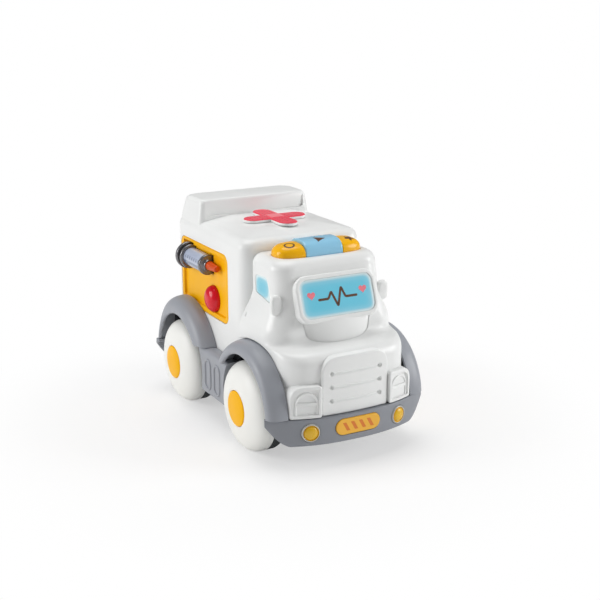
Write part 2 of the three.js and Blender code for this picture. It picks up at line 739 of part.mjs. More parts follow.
function cabShell() {
  const posts = [-1, 1].map((side) => rodZ(postRadius, postTopZ + gap, hoodTopZ - 1, side * screwX, screwFrontY, 10));
  const ledges = [-1, 1].map((side) => {
    const [nearX, wallX] = [keyEndX - 2.6, cabHalfWidth - wall + 0.4];
    const [x0, x1] = side > 0 ? [nearX, wallX] : [-wallX, -nearX];
    const half = boardHalfDepth + 1;
    return boxSolid(x0, x1, keyMidY - half, keyMidY + half, keyBoardZ - gap - 4, keyBoardZ - gap);
  });
  const outer = join(
    cabBlock(0, shellBottomZ, cabRearY), chinBlock(0), grillePlate(),
    lampHousing(-1), lampHousing(1), mirror(-1), mirror(1),
  );
  const room = cabBlock(-wall, chassisFloorZ, cabRearY + 5);
  const keyHole = join(
    keyPrism(0, keyEndX + keyClearance, keyClearance, cabRoofZ - 8, cabRoofZ + 8),
    keyPrism(0, -keyEndX - keyClearance, keyClearance, cabRoofZ - 8, cabRoofZ + 8),
  );
  const reach = keyHalfDepth + flangeReach + keyClearance;
  const flangeRoom = boxSolid(
    -keyEndX + 6, keyEndX - 6, keyMidY - reach, keyMidY + reach, keyFlangeZ - keyTravel - 1, cabRoofZ - wall,
  );
  const windows = [-1, 1].map((side) => windowPrism(side, gap, cabHalfWidth - 1.6, cabHalfWidth + 8));
  const trayRoom = trayBlock(gap, 0, trayTopZ + gap);
  const archTop = archRadius + frontArchDepth + 3 * gap;
  const arches = [-1, 1].map((side) => wheelSpace(side, frontAxleY, archTop, bodyHalfWidth));
  const shell = cut(outer, room, trayRoom, keyHole, flangeRoom, ...windows, ...arches, ...grilleGrooves());
  const bores = [-1, 1].map((side) => rodZ(screwShank + gap, 0, postTopZ + postHeight, side * screwX, screwFrontY, 8));
  const wells = wheelSpaces(archRadius + wellWall + gap, wellX - wellWall - gap);
  return cut(join(shell, ...posts, ...ledges), ...bores, ...wells);
}

// Windscreen pieces are drawn upright and then leaned back into place.
function leanScreen(geometry) {
  return geometry.rotateX(-screenTilt).translate(0, screenMidY, screenMidZ);
}

function screenPrism(grow, y0, y1) {
  const outline = roundedRect(screenWidth / 2 + grow, screenHeight / 2 + grow, screenCorner + grow, 4);
  return solid(leanScreen(loft([outline, outline], atY([y0, y1]))));
}

function screenFrame() {
  const outer = roundedRect(screenWidth / 2 + screenRim, screenHeight / 2 + screenRim, screenCorner + screenRim, 4);
  const soft = outer.map(([a, b]) => [a * 0.975, b * 0.95]);
  const block = solid(leanScreen(loft([soft, outer, outer], atY([0, 1.2, 16]))));
  const seat = join(cabBlock(gap, shellBottomZ, cabRearY), chinBlock(gap));
  return cut(block, screenPrism(gap, -3, screenInset + screenThickness + gap), seat);
}

const faceScreen = () => screenPrism(0, screenInset, screenInset + screenThickness);

const sideWindow = (side) => windowPrism(side, 0, cabHalfWidth - 1.6 + gap, cabHalfWidth - 0.2);

// Wheel arch: a hollow bulging band carried round the axle, narrower towards the bumper.
function fenderSection(rootRadius) {
  const rootX = bodyHalfWidth + gap;
  const curve = (lipX, topRadius) => steps(4).map((t) => {
    const angle = t * Math.PI / 2;
    const x = rootX + (lipX - rootX) * Math.sin(angle) ** 0.84;
    return [x, archRadius + (topRadius - archRadius) * Math.cos(angle) ** 0.84];
  });
  const outside = curve(fenderLipX, rootRadius);
  const inside = curve(fenderLipX - fenderThickness, rootRadius - fenderThickness);
  return [...outside, ...inside.reverse()];
}

const degrees = THREE.MathUtils.degToRad;

// Angles run from the bumper up over the wheel; toBumper is -1 for the front arch and 1 for the rear one.
function fender(side, axleY, toBumper, depth, footDepth) {
  const angles = steps(12).map((t) => degrees(5 + 165 * t));
  const sections = angles.map((angle) => {
    const grown = smooth((angle - degrees(12)) / degrees(50));
    return fenderSection(archRadius + footDepth + (depth - footDepth) * grown);
  });
  const place = (i, x, r) => new THREE.Vector3(
    side * x, axleY + toBumper * r * Math.cos(angles[i]), axleZ + r * Math.sin(angles[i]),
  );
  const overStep = boxSolid(-clearX, clearX, frontAxleY, rearAxleY, 0, stepTopZ + gap);
  const overFront = boxSolid(-clearX, clearX, bumperFrontY - 20, frontAxleY, 0, bumperTopZ + gap);
  const overRear = boxSolid(-clearX, clearX, rearAxleY, bumperRearY + 20, 0, rearBumperTopZ + gap);
  return cut(solid(loft(sections, place)), overStep, overFront, overRear);
}

const frontFender = (side) => fender(side, frontAxleY, -1, frontArchDepth, frontArchFoot);
const rearFender = (side) => fender(side, rearAxleY, 1, rearArchDepth, rearArchFoot);

// Bumper: a face with a ledge behind its upper edge, carried along a bowed plan; its lower edge rises to the ends.
function bumperBand(frontY, outward, sag, lowZ, highZ) {
  const section = (x) => {
    const share = Math.max(Math.abs(x) - bumperHalfWidth + bumperTaper, 0) / bumperTaper;
    const low = lowZ + (highZ - lowZ - bumperTipHeight) * share ** 1.7;
    return [[-bumperWall, low], [-0.9, low], [0, low + 1.6], [0, highZ - 1.6], [-0.9, highZ],
      [-bumperReach, highZ], [-bumperReach, highZ - 2.6], [-bumperWall, highZ - 2.6]];
  };
  const bowed = (x) => frontY - outward * sag * (Math.abs(x) / bumperHalfWidth) ** 2.4;
  const crowd = Math.PI * 0.47;
  const rows = steps(14).map((t) => bumperHalfWidth * Math.sin((2 * t - 1) * crowd) / Math.sin(crowd));
  const place = (i, out, z) => {
    const slope = (bowed(rows[i] + 0.01) - bowed(rows[i] - 0.01)) / 0.02;
    const length = Math.hypot(1, slope);
    const reach = out / length;
    return new THREE.Vector3(rows[i] - outward * slope * reach * 0.6, bowed(rows[i]) + outward * reach, z);
  };
  return solid(loft(rows.map(section), place));
}

function trayPlan(grow) {
  return planSection({
    halfWidth: bodyHalfWidth - trayInset + grow,
    front: hoodFrontY + trayInset - grow,
    rear: boxRearY - trayInset + grow,
    frontRadius: hoodCornerRadius - trayInset + grow,
    rearRadius: boxCornerRadius - trayInset + grow,
    bow: hoodBow,
    facets: 3,
  });
}

function trayBlock(grow, z0, z1) {
  const plan = trayPlan(grow);
  return solid(loft([plan, plan], atZ([z0, z1])));
}

// Turns a piece drawn along Y about the bumper lamp's seat.
function lampSeat(geometry, side) {
  const slope = bumperSag * 2.4 * (bumperLampX / bumperHalfWidth) ** 1.4 / bumperHalfWidth;
  const midZ = (bumperTopZ + bumperBottomZ) / 2;
  const seatY = bumperFrontY + bumperBow(bumperLampX);
  return geometry.rotateZ(side * Math.atan(slope)).translate(side * bumperLampX, seatY, midZ);
}

const lampPocket = (side, grow) => solid(lampSeat(
  turned([[0, -5], [bumperLampRadius + grow, -5], [bumperLampRadius + grow, 1.4 + grow], [0, 1.4 + grow]], 16), side,
));

function bumperLamp(side) {
  const r = bumperLampRadius;
  const profile = [[0, -1.7], [r * 0.45, -1.5], [r * 0.8, -0.9], [r, 0.2], [r, 1.4], [0, 1.4]];
  return solid(lampSeat(turned(profile, 12), side));
}

function platePrism(grow, y0, y1) {
  const outline = roundedRect(plateHalfWidth + grow, plateHalfHeight + grow, plateHalfHeight + grow, 4);
  const midZ = (bumperTopZ + bumperBottomZ) / 2 + 1;
  return solid(loft([outline, outline], atY([bumperFrontY + y0, bumperFrontY + y1])).translate(0, 0, midZ));
}

function frontBumper() {
  const band = bumperBand(bumperFrontY, -1, bumperSag, bumperBottomZ, bumperTopZ);
  const pockets = [-1, 1].map((side) => lampPocket(side, gap));
  const spaces = wheelSpaces(archRadius - 1, wellX - 8);
  const plateSeat = platePrism(gap, -plateHalfHeight, plateThickness + gap);
  return cut(band, trayBlock(gap, 0, hoodTopZ), ...spaces, ...pockets, plateSeat);
}

function rearBumper() {
  const band = bumperBand(bumperRearY, 1, rearBumperSag, rearBumperBottomZ, rearBumperTopZ);
  const bodyAbove = boxSolid(-bodyHalfWidth - gap, bodyHalfWidth + gap, 0, boxRearY + gap, 0, hoodTopZ);
  return cut(band, bodyAbove, ...wheelSpaces(archRadius - 1, wellX - 8));
}

// Side step between the wheels, with two raised loops on its face.
function sideStep(side) {
  const innerX = bodyHalfWidth - trayInset - 2;
  const section = [[innerX, stepBottomZ], [stepReachX - 2, stepBottomZ], [stepReachX, stepBottomZ + 4],
    [stepReachX, stepTopZ - 6], [stepReachX - 2.6, stepTopZ], [bodyHalfWidth + gap, stepTopZ],
    [bodyHalfWidth + gap, shellBottomZ - gap], [innerX, shellBottomZ - gap]];
  const [y0, y1] = [frontAxleY + 12, rearAxleY - 12];
  const block = solid(loft([section, section], (i, x, z) => new THREE.Vector3(side * x, [y0, y1][i], z)));
  return join(block, ...[-1, 1].map((k) => stepLoop(side, (y0 + y1) / 2 + k * 7)));
}

function stepLoop(side, midY) {
  const midZ = (stepBottomZ + stepTopZ) / 2 - 1;
  const ring = (halfA, halfB, x0, x1) => {
    const outline = roundedRect(halfA, halfB, halfA, 3).map(([a, b]) => [a + midY, b + midZ]);
    return solid(loft([outline, outline], atX([side * x0, side * x1])));
  };
  return cut(ring(5, 11, stepReachX - 1, stepReachX + 0.9), ring(3.2, 9.2, stepReachX, stepReachX + 3));
}

// Upper half of a wheel well, closed towards the middle of the car.
function wheelWell(side, axleY) {
  const inner = wellX - wellWall;
  const outer = bodyHalfWidth;
  const [x0, x1] = side > 0 ? [inner, outer] : [-outer, -inner];
  const radius = archRadius + wellWall;
  const below = boxSolid(x0 - 1, x1 + 1, axleY - radius - 1, axleY + radius + 1, axleZ - radius - 1, trayTopZ - 2);
  return cut(rodX(radius, x0, x1, axleY, axleZ, wheelFacets), below);
}

// Axle bearing bosses stand inward from the wheel wells.
function bearingBosses() {
  return wheelPlaces.map(([side, y]) => {
    const [x0, x1] = side > 0 ? [wellX - 7, wellX - 1] : [1 - wellX, 7 - wellX];
    return rodX(5.5, x0, x1, y, axleZ, 10);
  });
}

function batteryBay() {
  const outer = boxSolid(
    -bayHalfWidth - trayWall, bayHalfWidth + trayWall, bayFrontY - trayWall, bayRearY + trayWall,
    chassisFloorZ + 1, bayTopZ + trayWall,
  );
  const room = boxSolid(-bayHalfWidth, bayHalfWidth, bayFrontY, bayRearY, 0, bayTopZ);
  const boss = rodZ(2 * screwShank, floorTopZ, bayTopZ + 1, 0, bayScrewY, 10);
  return { outer, room, boss };
}

function speakerHoles() {
  const holes = [rodZ(1.7, 0, floorTopZ + 1, 0, speakerY, 6)];
  for (const t of steps(6).slice(1)) {
    const angle = t * Math.PI * 2;
    holes.push(rodZ(1.7, 0, floorTopZ + 1, 8 * Math.cos(angle), speakerY + 8 * Math.sin(angle), 6));
  }
  return holes;
}

const screwPlaces = [[-screwX, screwFrontY], [screwX, screwFrontY], [-screwX, screwRearY], [screwX, screwRearY]];

function chassis() {
  const wellSpaces = wheelSpaces(archRadius + trayWall, wellX - trayWall);
  const room = cut(trayBlock(-trayWall, floorTopZ, trayTopZ + 5), ...wellSpaces);
  const tray = cut(trayBlock(0, chassisFloorZ, trayTopZ), room);
  const posts = screwPlaces.map(([x, y]) => rodZ(postRadius + 0.8, chassisFloorZ + 1, postTopZ, x, y, 10));
  const bay = batteryBay();
  const wells = wheelPlaces.map(([side, axleY]) => wheelWell(side, axleY));
  const whole = join(tray, sideStep(1), sideStep(-1), ...wells, ...bearingBosses(), ...posts, bay.outer);
  const axleBore = axleRadius + axleClearance;
  const axleHoles = [frontAxleY, rearAxleY].map((y) => rodX(axleBore, -clearX, clearX, y, axleZ, 10));
  const heads = screwPlaces.map(([x, y]) => rodZ(screwHead + gap, 0, chassisFloorZ + screwSink + 2.3, x, y, 8));
  const shanks = screwPlaces.map(([x, y]) => rodZ(screwShank + gap, 0, postTopZ + 5, x, y, 8));
  const slotReach = switchTravel / 2 + knobHalfWidth + gap;
  const slotDepth = knobHalfDepth + gap;
  const slot = boxSolid(-slotReach, slotReach, switchY - slotDepth, switchY + slotDepth, 0, floorTopZ + 1);
  const hollow = cut(
    whole, ...wheelSpaces(archRadius, wellX), bay.room, ...axleHoles, ...heads, ...shanks, ...speakerHoles(), slot,
  );
  return cut(join(hollow, bay.boss), rodZ(screwShank + gap, 0, bayTopZ - 2, 0, bayScrewY, 8));
}

function batteryCover() {
  const inset = gap;
  const plate = boxSolid(
    -bayHalfWidth + inset, bayHalfWidth - inset, bayFrontY + inset, bayRearY - inset, chassisFloorZ, floorTopZ - gap,
  );
  const ribs = [-12, 0, 12].map((x) => boxSolid(
    x - 1, x + 1, bayFrontY + 6, bayScrewY - 6, chassisFloorZ - 1, chassisFloorZ + 0.6,
  ));
  const head = rodZ(screwHead + gap, 0, chassisFloorZ + 1.4, 0, bayScrewY, 8);
  return cut(plate, ...ribs, head, rodZ(screwShank + gap, 0, bayTopZ, 0, bayScrewY, 8));
}

// Screw: head down, shank up.
function screw(x, y, headZ, headHeight, length) {
  const profile = [[0, headZ], [screwHead * 0.8, headZ], [screwHead, headZ + 0.5], [screwHead, headZ + headHeight],
    [screwShank, headZ + headHeight], [screwShank, headZ + length - 1.5], [0, headZ + length]];
  return solid(alongZ(turned(profile, 6)).translate(x, y, 0));
}

function cell(midY) {
  const half = cellLength / 2;
  const profile = [[0, -half], [cellRadius - 0.4, -half], [cellRadius, 0.5 - half], [cellRadius, half - 1.6],
    [cellRadius - 0.4, half - 1], [2.7, half - 1], [2.7, half], [0, half]];
  return solid(alongX(turned(profile, 10)).translate(0, midY, floorTopZ + cellRadius));
}

function speaker() {
  const z = floorTopZ + gap;
  const top = z + speakerHeight;
  const profile = [[0, z], [speakerRadius, z], [speakerRadius, z + 2], [speakerRadius * 0.86, z + 2.4],
    [speakerRadius * 0.56, z + 7], [speakerRadius * 0.56, top], [0, top]];
  return solid(alongZ(turned(profile, 12)).translate(0, speakerY, 0));
}

function switchKnob() {
  const z = floorTopZ + gap;
  const off = -switchTravel / 2;
  const depth = switchHalfDepth - 1;
  const plate = boxSolid(
    off - switchPlateHalf, off + switchPlateHalf, switchY - depth, switchY + depth, z, z + switchPlateThickness,
  );
  const knob = boxSolid(
    off - knobHalfWidth, off + knobHalfWidth, switchY - knobHalfDepth, switchY + knobHalfDepth,
    chassisFloorZ + 0.4, z + 0.6,
  );
  const grips = [-1.6, 0, 1.6].map((x) => boxSolid(
    off + x - 0.35, off + x + 0.35, switchY - knobHalfDepth - 1, switchY + knobHalfDepth + 1,
    0, chassisFloorZ + 0.9,
  ));
  return cut(join(plate, knob), ...grips);
}

function switchBody() {
  const low = floorTopZ + gap;
  const high = low + switchPlateThickness + gap;
  const inner = switchTravel / 2 + switchPlateHalf + 3 * gap;
  const outer = inner + switchFoot;
  const [y0, y1] = [switchY - switchHalfDepth, switchY + switchHalfDepth];
  const block = boxSolid(-outer, outer, y0, y1, high, high + switchHeight);
  const feet = [-1, 1].map((side) => {
    const [x0, x1] = side > 0 ? [inner, outer] : [-outer, -inner];
    return boxSolid(x0, x1, y0, y1, low, high + gap);
  });
  return join(block, ...feet);
}

function mainBoard() {
  const z = bayTopZ + trayWall + gap;
  const half = bayHalfWidth - mainBoardInset;
  const plate = boxSolid(-half, half, bayFrontY + mainBoardInset, bayScrewY, z, z + boardThickness);
  const midY = (bayFrontY + bayRearY) / 2;
  const chipTop = z + boardThickness + chipHeight;
  const chip = boxSolid(-chipHalf, chipHalf, midY - chipHalf, midY + chipHalf, z + boardThickness / 2, chipTop);
  const can = rodZ(canRadius, z + boardThickness / 2, z + canHeight, half - 3 * canRadius, midY + canRadius, 10);
  return join(plate, chip, can);
}

function keyBoard() {
  const half = keyEndX + gap;
  return boxSolid(
    -half, half, keyMidY - boardHalfDepth, keyMidY + boardHalfDepth, keyBoardZ, keyBoardZ + boardThickness,
  );
}

function buttonBoard() {
  const [x0, x1] = [buttonBoardX, buttonBoardX + boardThickness];
  const half = buttonPostSpread + buttonPostRadius;
  return boxSolid(-x1, -x0, buttonY - half, buttonY + half, buttonZ - boardHalfDepth, buttonZ + boardHalfDepth);
}

const domeProfile = (base) => [[0, base], [domeRadius, base], [domeRadius, base + 0.8],
  [domeRadius * 0.66, base + domeHeight * 0.8], [domeRadius * 0.6, base + domeHeight], [0, base + domeHeight]];

function keyDome(x) {
  const profile = domeProfile(keyBoardZ + boardThickness + gap);
  return solid(alongZ(turned(profile, 8)).translate(x, keyMidY, 0));
}

function buttonDomePad() {
  const profile = domeProfile(buttonBoardX + boardThickness + gap);
  return solid(alongX(turned(profile, 8), -1).translate(0, buttonY, buttonZ));
}

// Key cap section, (Y, Z): upright skirt through the roof and a domed top.
function keySection(depth, height) {
  const base = keyFlangeZ + flangeThickness * 0.5;
  const arc = steps(8).map((t) => {
    const angle = t * Math.PI;
    const c = Math.cos(angle);
    const s = Math.sin(angle);
    return [keyMidY + depth * Math.sign(c) * Math.abs(c) ** 0.72, cabRoofZ + 0.4 + (height - 0.4) * s ** 0.8];
  });
  return [[keyMidY - depth, base], [keyMidY + depth, base], ...arc];
}

function keyStem(x) {
  return rodZ(stemRadius, stemBottomZ, keyFlangeZ + 0.4, x, keyMidY, 10);
}

function middleKey() {
  const half = keySplitX - gap / 2;
  const rows = [-half, 0.8 - half, half - 0.8, half];
  const sections = [0.94, 1, 1, 0.94].map((s) => keySection(keyHalfDepth, keyHeight * s));
  const cap = solid(loft(sections, atX(rows)));
  const wings = boxSolid(
    -half, half, keyMidY - keyHalfDepth - flangeReach, keyMidY + keyHalfDepth + flangeReach,
    keyFlangeZ, keyFlangeZ + flangeThickness,
  );
  return join(cap, wings, keyStem(0));
}

function endKey(side) {
  const inner = keySplitX + gap / 2;
  const shares = [0, 0.3, 0.55, 0.74, 0.87, 0.95, 0.985];
  const rows = shares.map((t) => inner + (keyEndX - inner) * t);
  const sections = rows.map((x, i) => {
    const drop = (1 - shares[i] ** 4) ** 0.5;
    return keySection(keyDepth(x, 0), 0.8 + (keyEndHeight - 0.8) * drop);
  });
  const cap = solid(loft(sections, atX(rows.map((x) => side * x))));
  const [x0, x1] = side > 0 ? [inner, inner + wingLength] : [-inner - wingLength, -inner];
  const reach = keyHalfDepth + flangeReach;
  const wings = boxSolid(x0, x1, keyMidY - reach, keyMidY + reach, keyFlangeZ, keyFlangeZ + flangeThickness);
  const tail = keyPrism(side * inner, side * keyEndX, 0, keyFlangeZ, keyFlangeZ + flangeThickness);
  return join(cap, wings, tail, keyStem(side * (keySplitX + keyEndX) / 2));
}

// Yellow tray in the side of the box.
function sidePanel(side) {
  const plug = panelPrism(side, 0, panelBackX + 1, bodyHalfWidth);
  const flange = panelPrism(side, panelFlange, panelBackX, bodyHalfWidth - wall - gap);
  const recess = panelPrism(side, -panelRim, panelFloorX, bodyHalfWidth + 5);
  return cut(join(plug, flange), recess);
}

// Half pipe behind the panel's floor with closed ends, round a channel about the syringe's axis.
function trough(radius, y0, y1) {
  const pipe = rodY(radius + troughWall, y0 - troughWall, y1 + troughWall, -syringeX, syringeZ, 18);
  const reach = radius + 2 * troughWall;
  const outside = boxSolid(
    -syringeX - reach, -panelBackX - 1, y0 - reach, y1 + reach, syringeZ - reach, syringeZ + reach,
  );
  return cut(pipe, outside);
}

function playPanel() {
  const channels = [
    [nozzleRadius + gap, nozzleTipY - gap, collarFrontY],
    [collarRadius + gap, collarFrontY - gap, barrelFrontY],
    [barrelRadius + gap, barrelFrontY - gap, barrelRearY + gap],
    [thumbRadius + gap, barrelRearY, thumbRearY + plungerPull + gap],
  ];
  const posts = [-1, 1].map((k) => rodX(
    buttonPostRadius, -panelBackX - 0.6, -buttonBoardX - boardThickness - gap,
    buttonY + k * buttonPostSpread, buttonZ, 10,
  ));
  const troughs = channels.slice(1).map(([radius, y0, y1]) => trough(radius, y0, y1));
  const hollows = channels.map(([radius, y0, y1]) => rodY(radius, y0, y1, -syringeX, syringeZ, 18));
  const hole = rodX(buttonRadius + gap, -clearX, -buttonBoardX, buttonY, buttonZ, 20);
  return cut(join(sidePanel(-1), ...posts, ...troughs), ...hollows, hole);
}

function sideButton() {
  const x0 = panelBackX - gap - flangeThickness;
  const r = buttonRadius;
  const dome = steps(4).map((t) => {
    const angle = t * Math.PI / 2;
    return [r * Math.cos(angle), panelFloorX + 0.6 + (buttonDome - 0.6) * Math.sin(angle)];
  });
  const profile = [[0, x0 - stemLength], [stemRadius, x0 - stemLength], [stemRadius, x0], [r + flangeReach, x0],
    [r + flangeReach, x0 + flangeThickness], [r, x0 + flangeThickness],
    ...dome.slice(0, -1), [0, panelFloorX + buttonDome]];
  return solid(alongX(turned(profile, 14), -1).translate(0, buttonY, buttonZ));
}

const syringeTurned = (profile) => solid(turned(profile, 12).translate(-syringeX, 0, syringeZ));

const syringeBarrel = () => syringeTurned([[barrelBore, barrelFrontY], [barrelRadius, barrelFrontY],
  [barrelRadius, barrelRearY], [barrelBore, barrelRearY], [barrelBore, barrelFrontY]]);

function syringeFlange() {
  const y0 = barrelRearY + gap;
  const y1 = y0 + flangeRingLength;
  const bore = rodRadius + 2 * gap;
  const r = flangeRingRadius;
  return syringeTurned([
    [bore, y0], [r - 0.5, y0], [r, y0 + 0.6], [r, y1 - 0.6], [r - 0.5, y1], [bore, y1], [bore, y0],
  ]);
}

function syringeCollar() {
  const y0 = collarFrontY;
  const y1 = y0 + collarLength;
  const r = collarRadius;
  return syringeTurned([[0, y0], [r * 0.5, y0], [r * 0.56, y0 + 1.2], [r * 0.94, y0 + 1.6], [r, y0 + 2.2],
    [r, y1 - 0.5], [r - 0.5, y1], [0, y1]]);
}

function syringeNozzle() {
  const y0 = nozzleTipY;
  const y1 = y0 + nozzleLength;
  const r = nozzleRadius;
  return syringeTurned([
    [0, y0], [r * 0.6, y0], [r * 0.78, y0 + 0.8], [r * 0.9, y1 - 4], [r, y1 - 3], [r, y1], [0, y1],
  ]);
}

// Thumb disc, rod and piston in one.
function syringePlunger() {
  const y0 = barrelFrontY + plungerPush + gap;
  const y1 = y0 + pistonLength;
  const r = thumbRadius;
  const piston = barrelBore - gap;
  return syringeTurned([[0, y0], [piston * 0.8, y0], [piston, y0 + 0.6], [piston, y1], [rodRadius, y1],
    [rodRadius, thumbFrontY], [r - 0.7, thumbFrontY], [r, thumbFrontY + 0.7], [r, thumbRearY - 0.7],
    [r - 0.8, thumbRearY], [0, thumbRearY - 0.5]]);
}

// Roof emblem: two crossed strips with round ends and a raised pad where they meet.
function roofEmblem() {
  const z = roofTopZ + gap;
  const [frontY, rearY] = [boxFrontY + emblemFrontMargin, humpFrontY - emblemRearMargin];
  const midY = (frontY + rearY) / 2;
  const strip = (halfA, halfB) => {
    const outline = roundedRect(halfA, halfB, Math.min(halfA, halfB), 3).map(([a, b]) => [a, b + midY]);
    const soft = outline.map(([a, b]) => [a * 0.97, midY + (b - midY) * 0.97]);
    return solid(loft([outline, outline, soft], atZ([z, z + emblemThickness * 0.7, z + emblemThickness])));
  };
  const padOutline = roundedRect(emblemPad, emblemPad, emblemPad * 0.32, 3).map(([a, b]) => [a, b + midY]);
  const padTopZ = z + emblemThickness + emblemPadRise;
  const pad = solid(loft([padOutline, padOutline], atZ([z + emblemThickness / 2, padTopZ])));
  return join(strip(emblemHalfWidth, emblemBand), strip(emblemBand, (rearY - frontY) / 2), pad);
}

// Wheel pieces, turned about the axle; u runs inward from the wheel's outer face.
function wheelTurned(side, axleY, profile, segments) {
  const points = profile.map(([r, u]) => [r, wheelFaceX - u]).reverse();
  return solid(alongX(turned(points, segments), side).translate(0, axleY, axleZ));
}

function wheel(side, axleY) {
  const r = wheelRadius;
  const edge = wheelWidth - treadWidth;
  const bore = axleRadius + gap;
  const outside = [[0, capRecess], [capRadius + gap, capRecess], [capRadius + gap, 0.2],
    [r * 0.6, 0.7], [r * 0.8, 2.6], [r * 0.93, 6], [r, 10.6], [r, edge]];
  const web = capRecess + capWeb;
  const hubEnd = wheelWidth - 2.4;
  const inside = [[r - rimWall, edge], [r - rimWall, edge - 4], [hubRadius, web + 1], [hubRadius, hubEnd],
    [bore, hubEnd], [bore, web], [0, web]];
  return wheelTurned(side, axleY, [...outside, ...inside], wheelFacets);
}

function treadRing(side, axleY) {
  const r = wheelRadius;
  const edge = wheelWidth - treadWidth + gap;
  const spigot = r - rimWall - gap;
  return wheelTurned(side, axleY, [[r, edge], [r, wheelWidth - 2.6], [r - 2, wheelWidth], [r - 6, wheelWidth],
    [r - 6, edge - 3], [spigot, edge - 3], [spigot, edge], [r, edge]], wheelFacets);
}

function hubCap(side, axleY) {
  const c = capRadius;
  const seat = capRecess - gap;
  return wheelTurned(side, axleY, [[0, -capDome], [c * 0.62, -capDome * 0.75], [c * 0.94, -0.2], [c, 0.3], [c, seat],
    [0, seat]], 12);
}

function axle(axleY) {
  const reach = wheelFaceX - capRecess - capWeb - gap;
  return rodX(axleRadius, -reach, reach, axleY, axleZ, 10);
}

// Assembly
const car = new THREE.Group();
car.name = "toy_ambulance";

function node(name, shape, material) {
  const { vertProperties, triVerts, numProp } = shape.simplify(0.01).getMesh();
  const positions = new Float32Array(vertProperties.length / numProp * 3);
  for (let v = 0; v < positions.length / 3; v++) {
    for (let k = 0; k < 3; k++) positions[v * 3 + k] = vertProperties[v * numProp + k];
  }
  const geometry = new THREE.BufferGeometry();
  geometry.setAttribute("position", new THREE.BufferAttribute(positions, 3));
  geometry.setIndex(new THREE.BufferAttribute(new Uint32Array(triVerts), 1));
  geometry.computeVertexNormals();
  const mesh = new THREE.Mesh(geometry, material);
  mesh.name = name;
  car.add(mesh);
}

node("chassis", chassis(), grey);
node("front_bumper", frontBumper(), grey);
node("rear_bumper", rearBumper(), grey);
node("box_shell", boxShell(), white);
node("cab_shell", cabShell(), white);
node("screen_frame", screenFrame(), white);
node("face_screen", faceScreen(), skyBlue);
node("bumper_plate", platePrism(0, 0, plateThickness), amber);
node("roof_emblem", roofEmblem(), coral);
node("side_panel_right", playPanel(), amber);
node("side_panel_left", sidePanel(1), amber);

for (const [word, side] of [["right", -1], ["left", 1]]) {
  node(`front_fender_${word}`, frontFender(side), grey);
  node(`rear_fender_${word}`, rearFender(side), grey);
  node(`side_window_${word}`, sideWindow(side), skyBlue);
  node(`bumper_lamp_${word}`, bumperLamp(side), ochre);
  node(`roof_key_${word}`, endKey(side), amber);
  node(`key_dome_${word}`, keyDome(side * (keySplitX + keyEndX) / 2), rubber);
}
node("roof_key_middle", middleKey(), keyBlue);
node("key_dome_middle", keyDome(0), rubber);
node("key_board", keyBoard(), boardGreen);

node("side_button", sideButton(), red);
node("button_dome", buttonDomePad(), rubber);
node("button_board", buttonBoard(), boardGreen);

node("syringe_barrel", syringeBarrel(), smoke);
node("syringe_flange", syringeFlange(), darkGlossy);
node("syringe_collar", syringeCollar(), darkGlossy);
node("syringe_nozzle", syringeNozzle(), orange);
node("syringe_plunger", syringePlunger(), darkGlossy);

for (const [end, axleY] of [["front", frontAxleY], ["rear", rearAxleY]]) {
  node(`${end}_axle`, axle(axleY), steel);
  for (const [word, side] of [["right", -1], ["left", 1]]) {
    node(`${end}_wheel_${word}`, wheel(side, axleY), ivory);
    node(`${end}_tread_${word}`, treadRing(side, axleY), darkRubber);
    node(`${end}_cap_${word}`, hubCap(side, axleY), amber);
  }
}

node("battery_cover", batteryCover(), grey);
node("battery_cover_screw", screw(0, bayScrewY, chassisFloorZ + 0.2, 0.9, coverScrewLength), steel);
screwPlaces.forEach(([x, y], i) => {
  node(`body_screw_${i + 1}`, screw(x, y, chassisFloorZ + screwSink, 1.9, screwLength), steel);
});
[0, 1].forEach((i) => {
  node(`cell_${i + 1}`, cell(bayFrontY + gap + cellRadius * (1 + 2 * i) + i * gap), cellJacket);
});
node("main_board", mainBoard(), boardGreen);
node("speaker", speaker(), darkRubber);
node("power_switch_body", switchBody(), darkRubber);
node("power_switch_knob", switchKnob(), darkRubber);

export default car;
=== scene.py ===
import bmesh
import bpy
import numpy as np
from math import pi, radians
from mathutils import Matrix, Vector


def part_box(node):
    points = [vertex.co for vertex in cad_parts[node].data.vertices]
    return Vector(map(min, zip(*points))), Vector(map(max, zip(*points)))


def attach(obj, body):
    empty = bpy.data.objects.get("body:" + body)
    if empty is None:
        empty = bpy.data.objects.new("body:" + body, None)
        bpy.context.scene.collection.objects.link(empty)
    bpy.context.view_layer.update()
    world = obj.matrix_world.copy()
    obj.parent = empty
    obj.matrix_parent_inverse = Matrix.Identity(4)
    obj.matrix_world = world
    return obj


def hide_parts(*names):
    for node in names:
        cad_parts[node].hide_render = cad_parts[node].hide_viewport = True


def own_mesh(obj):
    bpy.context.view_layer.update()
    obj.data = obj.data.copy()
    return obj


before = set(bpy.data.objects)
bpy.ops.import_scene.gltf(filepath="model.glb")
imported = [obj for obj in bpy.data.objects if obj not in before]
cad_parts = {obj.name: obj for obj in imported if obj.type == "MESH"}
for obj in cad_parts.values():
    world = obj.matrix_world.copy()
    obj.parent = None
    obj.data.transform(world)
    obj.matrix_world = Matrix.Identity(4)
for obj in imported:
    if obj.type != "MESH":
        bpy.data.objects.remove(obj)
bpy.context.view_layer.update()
print("frame loaded")

# sizes below are in millimetres and become metres when a mesh is made
metre = 0.001
gap = 0.3
core = 0.01  # radius at which a turned shape closes on its axis
alongX, alongY, alongZ = 0, 1, 2
rightAndLeft = (("right", -1), ("left", 1))


def nodeBox(node):
    return [np.array(corner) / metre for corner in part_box(node)]


